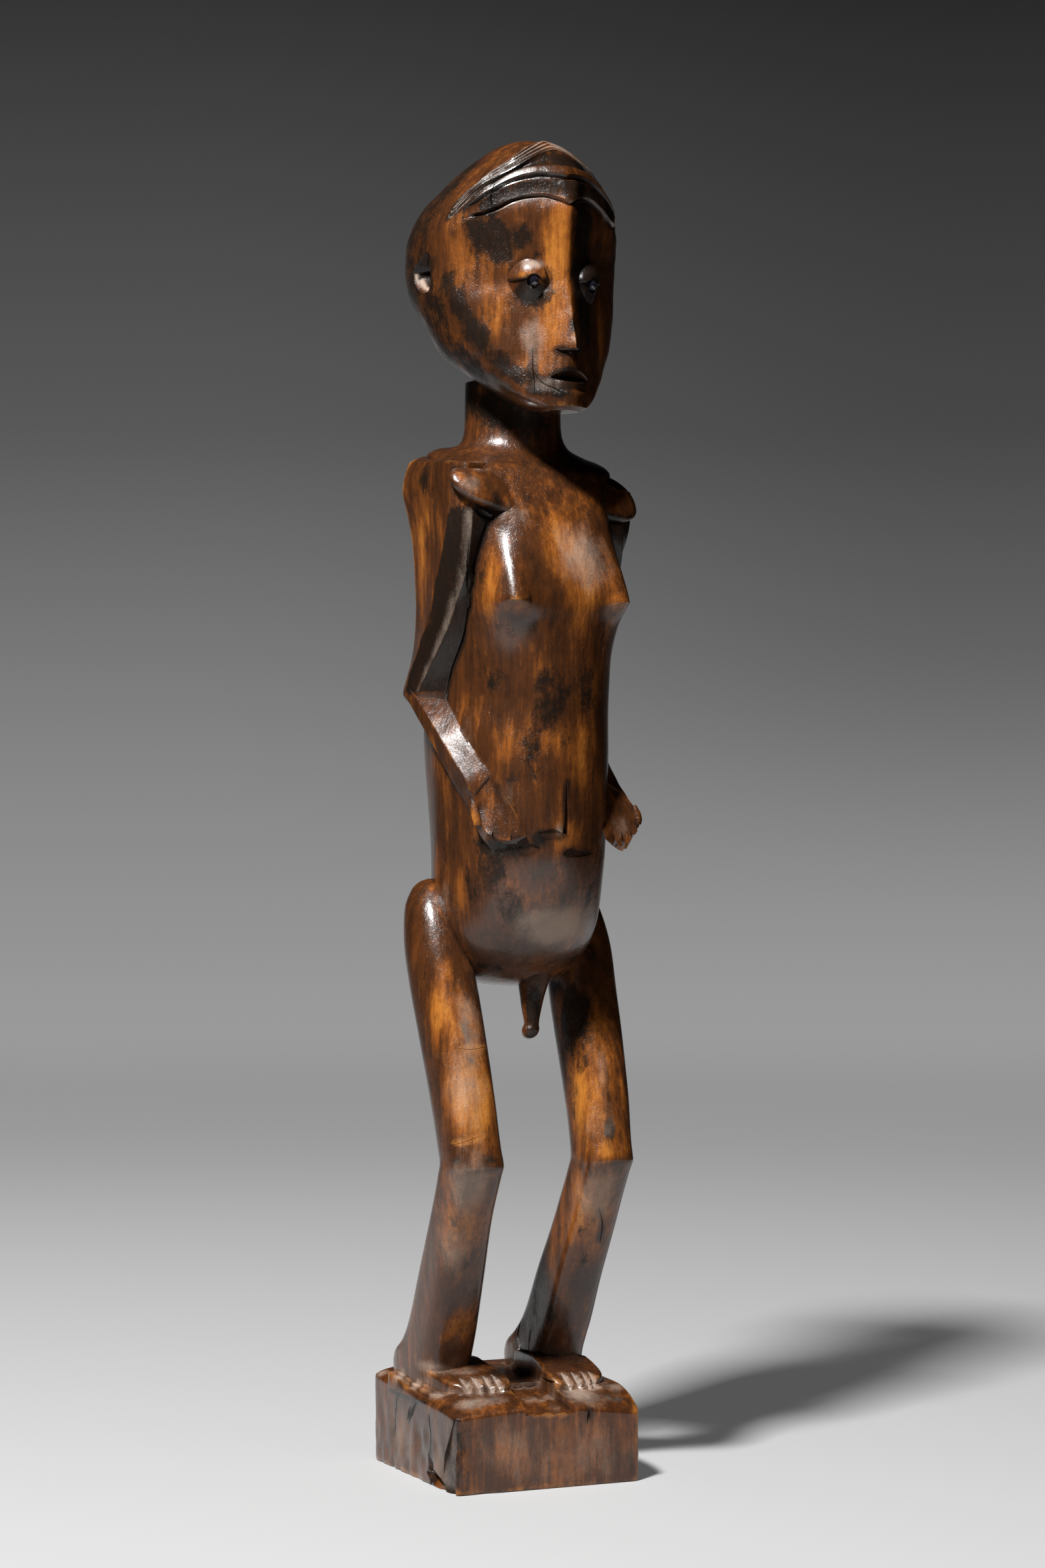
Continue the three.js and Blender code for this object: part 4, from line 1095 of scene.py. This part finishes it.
# Most patches are dust and wax. Some are partly painted sheen: the pale floor's reflection on the shins and
# under the belly's bowl, and the key's sheen on the right thigh's top, the chest, the right cheek and the
# right shoulder's lobe.
DUST_AND_LIGHT_PATCHES = np.array([
    # partly painted reflection of the floor: the shins at heights 132, 104 and 126 here and 98 on the next
    # line, and the belly's bowl at 247 on the next line
    [-37, -42, 132, 10, 18, 0.72], [-38, -27, 104, 9, 20, 0.55], [29, -39, 126, 11, 19, 0.66],
    [38, -25, 98, 6, 18, 0.3], [0, -51, 247, 19, 10, 0.95], [-39, -40, 178, 11, 24, 0.45],
    [-32, -30, 205, 8, 22, 0.4], [30, -38, 186, 4, 24, 0.35], [26, -42, 160, 9, 12, 0.3],
    # partly painted sheen of the key: the chest at height 410 and the right thigh's top at 261
    [9, -57, 410, 15, 18, 0.58], [-20, -54, 428, 10, 7, 0.35], [-36, -13, 261, 5, 8, 0.35],
    # partly painted sheen of the key: the right cheek at height 504 and the right shoulder's lobe at 441
    [-14, -55, 504, 7, 12, 0.45], [-9, -60, 484, 9, 4, 0.35], [-40, -46, 441, 6, 6, 0.4],
    [-15, -58, 537, 7, 3, 0.8], [-35, -33, 330, 6, 15, 0.25], [-39, -1, 50, 9, 3, 0.6],
    [-27, -9, 48, 12, 2, 0.45], [-42, 21, 43, 4, 4, 0.8], [-42, 5, 41, 4, 3, 0.8],
    [-40, -13, 39, 6, 2, 0.7], [-40, 45, 40, 4, 3, 0.7], [30, -10, 49, 9, 3, 0.3],
    [-36, -35, 38, 9, 2, 0.5], [-23, -35, 39, 9, 2, 0.45], [-43, 20, 18, 12, 18, 0.5],
    [-45, -27, 11, 6, 15, 0.5], [-16, -46, 17, 28, 18, 0.36], [24, -49, 14, 19, 18, 0.34],
    [18, -37, 39, 8, 3, 0.6], [24, -42, 37, 16, 4, 0.33], [39, -34, 40, 6, 2, 0.5],
    [-1, -31, 37, 6, 4, 0.45], [8, -29, 37, 4, 4, 0.4], [-4, -61, 290, 2, 3, 0.6],
    [-24, -51, 306, 6, 6, 0.25], [33, -49, 291, 7, 7, 0.4], [-19, -53, 351, 6, 6, 0.1],
    [-37, -28, 215, 6, 36, 0.12],
])


def patch_share(points, patches):
    """How much of a patch lies at each point: every patch fades from its strength as a bell
    of the distance over its reach, and the patches are laid over one another."""
    left = np.ones(len(points))
    for x, y, z, wide, high, strength in patches:
        far = ((points[:, 0] - x) ** 2 + (points[:, 1] - y) ** 2) / wide**2 + ((points[:, 2] - z) / high) ** 2
        left *= 1 - strength * np.exp(-(far ** 1.3))
    return 1 - left


def read_mesh(mesh, group, name, kind, width=1):
    """One property of all the mesh's parts as an array."""
    parts = getattr(mesh, group)
    values = np.empty(len(parts) * width, kind)
    parts.foreach_get(name, values)
    return values.reshape(-1, width) if width > 1 else values


def edge_shares(mesh, points, cell=1.4, slight=0.12, full=0.16):
    """How sharply the wood stands out, and sinks in, near each point: each edge's turn in
    radians beyond a slight one, times its length, is dropped into a grid of cells, apart for
    ridges and hollows; the grid is blurred by neighbour means and read back between its
    cells. A reading r gives the share 1 - exp(-r / full)."""
    pairs = read_mesh(mesh, "edges", "vertices", int, 2)
    normals = read_mesh(mesh, "polygons", "normal", float, 3)
    middles = read_mesh(mesh, "polygons", "center", float, 3)
    owner = np.repeat(np.arange(len(mesh.polygons)), read_mesh(mesh, "polygons", "loop_total", int))
    sides = owner[np.argsort(read_mesh(mesh, "loops", "edge_index", int), kind="stable")].reshape(-1, 2)
    one, two = normals[sides[:, 0]], normals[sides[:, 1]]
    turn = np.arccos(np.clip((one * two).sum(1), -1, 1))
    ridge = ((middles[sides[:, 1]] - middles[sides[:, 0]]) * one).sum(1) < 0
    start, end = points[pairs[:, 0]], points[pairs[:, 1]]
    weight = np.linalg.norm(end - start, axis=1) * np.clip(turn - slight, 0, 1.2)
    low = points.min(0) - 6
    size = ((points.max(0) + 6 - low) / cell).astype(int) + 1
    shares = []
    for wanted in (ridge, ~ridge):
        grid = np.zeros(size.prod())
        for part in (0.2, 0.5, 0.8):
            where = ((mix(start, end, part)[wanted] - low) / cell).astype(int)
            grid += np.bincount(np.ravel_multi_index(where.T, size), weight[wanted] / 3, size.prod())
        grid = grid.reshape(size)
        for axis in (0, 1, 2) * 2:
            grid = (np.roll(grid, 1, axis) + 2 * grid + np.roll(grid, -1, axis)) / 4
        at = (points - low) / cell - 0.5
        corner = at.astype(int)
        part = at - corner
        read = 0
        for dx, dy, dz in np.ndindex(2, 2, 2):
            share = np.prod(np.where([dx, dy, dz], part, 1 - part), axis=1)
            read = read + share * grid[corner[:, 0] + dx, corner[:, 1] + dy, corner[:, 2] + dz]
        shares.append(1 - np.exp(-read / full))
    return shares


# The level directions straight away from the camera, and across its view to the right.
CAMERA_TURN = np.radians(27.0)
AHEAD = (float(np.sin(CAMERA_TURN)), float(np.cos(CAMERA_TURN)), 0.0)
ASIDE = (float(np.cos(CAMERA_TURN)), -float(np.sin(CAMERA_TURN)), 0.0)


def in_ear(points):
    """1 inside the ear wells: a step in how deep each point lies below the plain head."""
    x, y, z = points.T
    widest = curves(HEAD)(z)[:, 1]
    plain = head_plan(np.arctan2(x, widest - y), z)
    depth = np.hypot(plain[:, 0], plain[:, 1] - widest) - np.hypot(x, y - widest)
    beside = smooth(-21, -19, y) * smooth(3, 1, y) * smooth(524, 526, z) * smooth(549, 547, z)
    return smooth(0.7, 1.4, depth) * beside


def lit_in_ear(points):
    """1 on the lower back wall of the ear wells, painted pale as the part that the key lights,
    below a line that falls with the distance from the rim across the view, the painted edge
    of the rim's shadow; the rest of the well is painted black as that shadow."""
    rim_out, rim_back, rim_height = 46.4, 0.3, 539.6
    inwards = ASIDE[0] * (rim_out - np.abs(points[:, 0])) + ASIDE[1] * (points[:, 1] - rim_back)
    line = rim_height - inwards
    return smooth(line + 0.7, line - 0.7, points[:, 2])


def keep_share(mesh, name, values):
    """Store one share at every point of the mesh."""
    mesh.attributes.new(name, "FLOAT", "POINT").data.foreach_set("value", values.astype(np.float32))


def arm_strip(points):
    """1 on the front strips of the upper arms, between their edge and the crease."""
    x, y, z = points.T
    row = curves(UPPER_ARM)(z)
    return (smooth(row[:, 5] + 0.6, row[:, 5] - 1.2, y) * smooth(row[:, 8] - 0.4, row[:, 8] + 0.6, np.abs(x))
            * smooth(349, 352, z) * smooth(434, 427, z) * smooth(-46, -44.5, y))


def arm_painted_sheen(points):
    """1 beside the ridge of the upper arms, on the strip towards their edge, where a grey sheen
    is painted: the reflection that runs along the ridge."""
    row = curves(UPPER_ARM)(points[:, 2])
    share = (np.abs(points[:, 0]) - row[:, 6]) / (row[:, 4] - row[:, 6])
    return arm_strip(points) * smooth(-0.06, 0.03, share) * smooth(0.62, 0.12, share)


def brow_at(points):
    """The turn of each point from the head's front, in degrees, and the brow's curves there."""
    angle = np.degrees(np.arctan2(np.abs(points[:, 0]), -10 - points[:, 1]))
    return angle, curves(BROW)(angle).T


def head_strips(points):
    """How black the brow's dark strips are, under the raised band and between it and the
    hair, and how smoked the back of the head is."""
    z = points[:, 2]
    angle, (edge, _, groove, _, band_top, hair, _) = brow_at(points)
    under = smooth(edge + 0.4, edge + 1.2, z) * smooth(groove + 0.4, groove - 0.4, z) * smooth(49, 44, angle)
    above = smooth(band_top - 0.6, band_top + 0.3, z) * smooth(hair + 0.1, hair - 0.5, z)
    back = smooth(62, 85, angle) * smooth(470, 476, z)
    return np.clip(0.8 * under + 0.9 * above * smooth(60, 44, angle) + 0.66 * back, 0, 1)


def brow_lip_painted_highlight(points):
    """1 on the thin lip under the brow's arch, painted pale as the highlight along the groove's lower edge.
    """
    z = points[:, 2]
    angle, (edge, *_) = brow_at(points)
    lip = smooth(edge - 1.6, edge - 1.2, z) * smooth(edge - 0.6, edge - 0.9, z)
    return lip * smooth(42, 34, angle) * smooth(4, 7, angle)


def dusty_cuts(points, cuts):
    """1 inside the gouge cuts of the toes: each point's distance to the cut's middle line,
    against the cut's half-width there."""
    share = np.zeros(len(points))
    near = points[:, 2] < 60
    for rings in cuts:
        middle = (rings[:, 0] + rings[:, 2]) / 2
        half = np.linalg.norm(rings[:, 0] - rings[:, 2], axis=1) / 2
        far = np.linalg.norm(points[near][:, None] - middle, axis=-1) / (half + 0.05)
        share[near] = np.maximum(share[near], smooth(0.95, 0.72, far.min(1)))
    return share


def combed_share(points):
    """The count of fine grooves below each point of the hair band, 0 elsewhere."""
    z = points[:, 2]
    angle, (*_, low, high) = brow_at(points)
    inside = smooth(low - 0.3, low, z) * smooth(high + 0.3, high, z) * smooth(67, 62, angle)
    return inside * (z - low + 0.01) / HAIR_PITCH


skin_points = read_mesh(figure.data, "vertices", "co", float, 3) / MM
# The crease reading marks creases and hollows, which are painted black, partly as grime and partly as the
# shade that gathers there.
worn_share, crease_share = edge_shares(figure.data, skin_points)
skin_x, skin_z = skin_points[:, 0], skin_points[:, 2]
# Painted light and shade in the ear wells: the lit lower back wall pale, the rest of each well black as its
# shadow.
ear, pale = in_ear(skin_points), lit_in_ear(skin_points)
at_feet = smooth(62, 52, skin_z) * smooth(37, 39, skin_z)
knee = 0.9 * smooth(150, 153, skin_z) * smooth(202, 198, skin_z) * smooth(-20, -24, skin_x)
# The soot share also carries painted shade: the patches so marked above, and black in the ear wells as their
# shadow.
soot_and_shade_share = np.maximum.reduce([
    patch_share(skin_points, SOOT_AND_SHADE_PATCHES), 0.95 * arm_strip(skin_points), head_strips(skin_points), ear,
])
# The dust share also carries painted light: the patches so marked above, the lit wall of the ear wells, the
# highlight on the brow's lip and the sheen on the upper arms' strips.
dust_and_light_share = np.maximum.reduce([
    patch_share(skin_points, DUST_AND_LIGHT_PATCHES), 0.72 * dusty_cuts(skin_points, toe_cuts), 0.9 * ear * pale,
    0.42 * at_feet * crease_share, 0.8 * brow_lip_painted_highlight(skin_points), 0.38 * arm_painted_sheen(skin_points),
])
shares = {
    "soot": soot_and_shade_share * (1 - ear * pale),
    "warm": patch_share(skin_points, WARM),
    "dust": dust_and_light_share,
    "worn": worn_share,
    "hollow": crease_share * (1 - ear) * (1 - 0.8 * at_feet) * (1 - knee),
    "combed": combed_share(skin_points),
}
for name, values in shares.items():
    keep_share(figure.data, name, values)


class Wire:
    """An output socket. Arithmetic on it adds Math nodes to its tree."""

    def __init__(self, socket):
        self.socket = socket
        self.tree = socket.id_data

    def node(self, kind, settings=None, inputs=None, output=0):
        """A node of this kind in the wire's tree: its settings are set, then its inputs,
        each a number, colour or wire, by name or place. Gives a wire from one output."""
        made = self.tree.nodes.new("ShaderNode" + kind)
        for name, value in (settings or {}).items():
            if name == "stops":
                ramp = made.color_ramp
                while len(ramp.elements) < len(value):
                    ramp.elements.new(1.0)
                for element, (place, colour) in zip(ramp.elements, value):
                    element.position, element.color = place, (*colour, 1)
            else:
                setattr(made, name, value)
        for name, value in (inputs or {}).items():
            if isinstance(value, Wire):
                self.tree.links.new(value.socket, made.inputs[name])
            else:
                made.inputs[name].default_value = value
        return Wire(made.outputs[output])

    def math(self, operation, a, b=0.0, clamp=False):
        return self.node("Math", {"operation": operation, "use_clamp": clamp}, {0: a, 1: b})

    def __add__(self, other):
        return self.math("ADD", self, other)

    def __sub__(self, other):
        return self.math("SUBTRACT", self, other)

    def __rsub__(self, other):
        return self.math("SUBTRACT", other, self)

    def __mul__(self, other):
        return self.math("MULTIPLY", self, other)

    __radd__, __rmul__ = __add__, __mul__

    def clip(self):
        """The value held between 0 and 1."""
        return self.math("ADD", self, 0.0, clamp=True)

    def step(self, low, high, bottom=0.0, top=1.0):
        """A smooth step from bottom to top as the value goes from low to high."""
        return self.node("MapRange", {"interpolation_type": "SMOOTHSTEP"},
                         {0: self, 1: low, 2: high, 3: bottom, 4: top})

    def along(self, direction):
        """How far a vector goes along a direction."""
        return self.node("VectorMath", {"operation": "DOT_PRODUCT"}, {0: self, 1: direction}, 1)

    def feed(self, node, name):
        """Link the wire to one of a node's inputs."""
        self.tree.links.new(self.socket, node.inputs[name])

    def blend(self, a, b):
        """Colour a where the value is 0 and colour b where it is 1."""
        colours = {6: a if isinstance(a, Wire) else (*a, 1), 7: b if isinstance(b, Wire) else (*b, 1)}
        return self.node("Mix", {"data_type": "RGBA"}, {0: self, **colours}, 2)


def node_of(tree, kind):
    """The tree's first node of a kind."""
    return next(node for node in tree.nodes if node.type == kind)


def new_material(name):
    """A material with its Principled shader, and a wire of Object coordinates."""
    material = bpy.data.materials.new(name)
    material.use_nodes = True
    tree = material.node_tree
    shader = node_of(tree, "BSDF_PRINCIPLED")
    place = Wire(tree.nodes.new("ShaderNodeTexCoord").outputs["Object"])
    return material, shader, place


def noise(place, scale, detail, stretch=(1, 1, 1), shift=0.0, rough=0.55):
    """Noise about a metre over `scale` across, drawn out along the axes by `stretch`."""
    if stretch != (1, 1, 1) or shift:
        size = tuple(1 / s for s in stretch)
        place = place.node("Mapping", {}, {"Vector": place, "Location": (shift, shift, shift), "Scale": size})
    return place.node("TexNoise", {}, {"Vector": place, "Scale": scale, "Detail": detail, "Roughness": rough})


# the bare wood from its darkest tone to its most orange, and what lies over it: grime, soot
# with painted shade, grime with painted shade in creases, rubbed wear, and dust with painted
# sheen and light
WOOD_TONES = [
    (0.0, (0.022, 0.009, 0.004)), (0.35, (0.070, 0.022, 0.006)), (0.65, (0.205, 0.062, 0.010)),
    (1.0, (0.44, 0.160, 0.024)),
]
GRIME_BROWN, SOOT_AND_SHADE_BLACK, CREVICE_GRIME_AND_SHADE_BLACK = (0.020, 0.009, 0.005), (0.008, 0.0055, 0.004), (0.007, 0.005, 0.004)
RUBBED_ORANGE, DUST_AND_LIGHT_GREY = (0.36, 0.135, 0.025), (0.36, 0.27, 0.21)


def wood_material():
    """Grain streaks and mottling choose a tone between dark brown and orange. The shares
    kept on the mesh, their edges broken by noise, then lay over it soot with painted shade,
    grime with painted shade in the creases, wear, and dust with painted sheen and light."""
    material, shader, place = new_material("old_oiled_wood")
    soot, warm, dust, worn, hollow, combed = (
        place.node("Attribute", {"attribute_name": name}, {}, 2) for name in shares)
    streak = noise(place, 420, 6, (1, 1, 16), 0.0, 0.65)
    fibre = noise(place, 1500, 3, (1, 1, 20), 23.0, 0.6)
    vein = noise(place, 170, 4, (1, 1, 14), 5.0, 0.6)
    grain = noise(place, 150, 8, (1, 1, 6), 3.0, 0.7)
    mottle = noise(place, 60, 8, (1, 1, 1.5), 7.0, 0.7)
    blotch = noise(place, 24, 6, (1, 1, 1.5), 11.0, 0.65)
    grime = noise(place, 130, 9, (1, 1, 1.6), 29.0, 0.8)
    speck = noise(place, 1100, 2, (1, 1, 1), 13.0)
    broken = (mottle - 0.5) * 1.3 + (grain - 0.5) * 1.0 + (grime - 0.5) * 1.0 + (speck - 0.5) * 0.35
    tone = streak * 0.20 + vein * 0.12 + grain * 0.24 + mottle * 0.24 + blotch * 0.16 + warm * 0.18 - 0.005
    tone = tone.step(0.34, 0.72)
    colour = tone.node("ValToRGB", {"stops": WOOD_TONES}, {"Fac": tone})
    dirt = grime.step(0.46, 0.66) * 0.55 + fibre.step(0.52, 0.72) * 0.35
    colour = (dirt * (1.1 - tone * 0.45)).clip().blend(colour, GRIME_BROWN)
    # soot, and the painted shade that its share also carries
    black = (soot + broken * 1.05 + (grime - 0.5) * 1.3 + (blotch - 0.5) * 0.6).step(0.25, 0.80)
    colour = (black * 0.93).blend(colour, SOOT_AND_SHADE_BLACK)
    # painted shade with grime: black laid in the creases and hollows
    deep = (hollow + broken * 0.4).step(0.40, 0.95)
    colour = (deep * 0.85).blend(colour, CREVICE_GRIME_AND_SHADE_BLACK)
    rubbed = (worn + broken * 0.9 - soot * 0.35 - hollow * 1.3).step(0.45, 1.0)
    colour = (rubbed * 0.7).blend(colour, RUBBED_ORANGE)
    phase = combed * (2 * np.pi)
    line = phase.math("SINE", phase).step(0.0, 0.9) * combed.step(0.1, 0.4)
    # dust and the fine hair lines, and the painted sheen and light that the dust share also carries
    dust_and_light_cover = (dust + broken * 0.5 + line * (0.15 + blotch * 0.9)).step(0.15, 0.95)
    colour = (dust_and_light_cover * 0.75).blend(colour, DUST_AND_LIGHT_GREY)
    colour.feed(shader, "Base Color")
    rough = (mottle * 0.22 + speck * 0.16 + 0.11 + dust_and_light_cover * 0.35).clip()
    rough.feed(shader, "Roughness")
    gloss = (0.62 - black * 0.52 - dust_and_light_cover * 0.5).clip()
    gloss.feed(shader, "Coat Weight")
    shader.inputs["Specular IOR Level"].default_value = 0.28
    shader.inputs["Coat Roughness"].default_value = 0.17
    pimple = noise(place, 1400, 2, (1, 1, 1.3), 17.0)
    lumps = noise(place, 230, 4, (1, 1, 1.8), 19.0, 0.6)
    height = pimple.step(0.52, 0.78) * (mottle.step(0.40, 0.7) * 0.28 + 0.04) + lumps * 0.85 + streak * 0.3
    bump = height.node("Bump", {}, {"Height": height, "Strength": 0.65, "Distance": 0.0008})
    bump.feed(shader, "Normal")
    return material


figure.data.materials.clear()
figure.data.materials.append(wood_material())
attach(figure, "root")
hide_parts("figure")


# The eye beads: dark glass trade beads set in each eye's socket.

def bead_material():
    """Nearly black glass with a clear polished skin."""
    material, shader, place = new_material("dark_glass")
    swirl = noise(place, 600, 3)
    colour = swirl.step(0.6, 0.75).blend((0.006, 0.006, 0.010), (0.02, 0.03, 0.09))
    colour.feed(shader, "Base Color")
    shader.inputs["Roughness"].default_value = 0.06
    shader.inputs["Specular IOR Level"].default_value = 0.8
    shader.inputs["Coat Weight"].default_value = 0.6
    return material


glass = bead_material()
for name in ("eye_bead_right", "eye_bead_left"):
    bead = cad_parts[name]
    for material_slot in bead.material_slots:
        material_slot.link = "OBJECT"
        material_slot.material = glass


# The studio: a pale floor that fades into a grey room and glows, a painted light that
# lifts the floor's shadow and, in a band out of view in front, lights the figure from
# below; one soft key high on the left, and the camera where the photographer stood.

FLOOR_RADIUS, FLOOR_DROP = 3200.0, 0.02
PAPER_GREY, ROOM_GREY = (0.37, 0.37, 0.37), (0.07, 0.07, 0.07)
# grey of the room from straight below, 0, over level, 0.5, to straight above, 1
ROOM_GREYS = [
    (0.0, 0.05), (0.40, 0.20), (0.45, 0.36), (0.5, 0.24), (0.55, 0.098), (0.61, 0.034), (0.75, 0.010),
    (1.0, 0.010),
]


def floor_rings():
    """A flat round floor: circles wider by even steps."""
    around = np.arange(96) / 96 * 2 * np.pi
    radius = np.linspace(1, FLOOR_RADIUS, 24)[:, None]
    x, y = radius * np.sin(around), -radius * np.cos(around)
    return np.stack([x, y, np.full_like(x, -FLOOR_DROP)], -1)


points, faces = closed_skin(floor_rings())
floor_mesh = bpy.data.meshes.new("floor")
floor_mesh.from_pydata((points * MM).tolist(), [], faces[0] + faces[1])
floor = bpy.data.objects.new("floor", floor_mesh)
bpy.context.scene.collection.objects.link(floor)
floor_material, floor_shader, floor_place = new_material("pale_paper")
floor_shader.inputs["Roughness"].default_value = 0.7
floor_shader.inputs["Specular IOR Level"].default_value = 0.2
# The paper glows: painted light that lifts the shade of the figure's shadow on the floor.
floor_shader.inputs["Emission Strength"].default_value = 0.09
away = floor_place.node("VectorMath", {"operation": "LENGTH"}, {0: floor_place}, 1)
clear = away.node("BsdfTransparent")
ahead, aside = floor_place.along(AHEAD), floor_place.along(ASIDE)
paper = ahead.step(-1.2, -0.8) * aside.math("ABSOLUTE", aside).step(0.95, 0.5)
sweep = paper.blend(ROOM_GREY, PAPER_GREY)
sweep.feed(floor_shader, "Base Color")
# A band of the paper in front of the figure, out of view, glows over four times as bright: painted fill light
# on the figure's undersides.
glow = paper * (ahead.step(-0.26, -0.42) * ahead.step(-1.0, -0.6) * 3.2 + 1.0)
glow.feed(floor_shader, "Emission Color")
fade = away.node("MixShader", {}, {0: away.step(0.9, 2.9), 1: Wire(floor_shader.outputs[0]), 2: clear})
fade.feed(node_of(floor_material.node_tree, "OUTPUT_MATERIAL"), "Surface")
floor_mesh.materials.append(floor_material)

world = bpy.data.worlds.new("grey_room")
bpy.context.scene.world = world
world.use_nodes = True
direction = Wire(world.node_tree.nodes.new("ShaderNodeTexCoord").outputs["Generated"])
height = direction.node("SeparateXYZ", {}, {0: direction}, 2)
room_stops = [(place, (grey,) * 3) for place, grey in ROOM_GREYS]
room = height.node("ValToRGB", {"stops": room_stops}, {"Fac": height * 0.5 + 0.5})
facing, aside = direction.along(AHEAD), direction.along(ASIDE)
lit = facing.step(0.75, 0.96, 0.05, 1.0) * (1 - aside.step(-0.10, 0.14, 0.0, 0.35) * height.step(-0.05, 0.05))
lit = lit * (1 - aside.step(0.16, 0.36, 0.0, 0.85))
room = room.node("VectorMath", {"operation": "SCALE"}, {0: room, "Scale": lit})
room.feed(node_of(world.node_tree, "BACKGROUND"), "Color")


def soft_light(name, place, aim, size, power):
    """A square soft box at a place, in metres, facing a point."""
    light = bpy.data.lights.new(name, "AREA")
    light.shape, light.size, light.energy = "SQUARE", size, power
    made = bpy.data.objects.new(name, light)
    bpy.context.scene.collection.objects.link(made)
    toward = np.array(aim) - np.array(place)
    level = np.hypot(toward[0], toward[1])
    made.location = place
    made.rotation_euler = (np.arctan2(level, -toward[2]), 0, np.arctan2(toward[1], toward[0]) - np.pi / 2)


soft_light("key", place=(-1.15, -0.74, 2.15), aim=(0, -0.02, 0.30), size=0.30, power=132)

CAMERA_PLACE, SENSOR_HEIGHT = (-0.7042, -1.4001, 0.310), 36.0
FOCAL_PIXELS, PHOTO_HEIGHT = 5200.0, 2352.0
camera_data = bpy.data.cameras.new("camera")
camera_data.sensor_fit, camera_data.sensor_height = "VERTICAL", SENSOR_HEIGHT
camera_data.lens = SENSOR_HEIGHT * FOCAL_PIXELS / PHOTO_HEIGHT
camera_data.clip_start, camera_data.clip_end = 0.05, 50
camera = bpy.data.objects.new("camera", camera_data)
camera.location = CAMERA_PLACE
camera.rotation_euler = (np.pi / 2, 0, -CAMERA_TURN)
bpy.context.scene.collection.objects.link(camera)
bpy.context.scene.camera = camera
bpy.context.scene.view_settings.view_transform = "Standard"
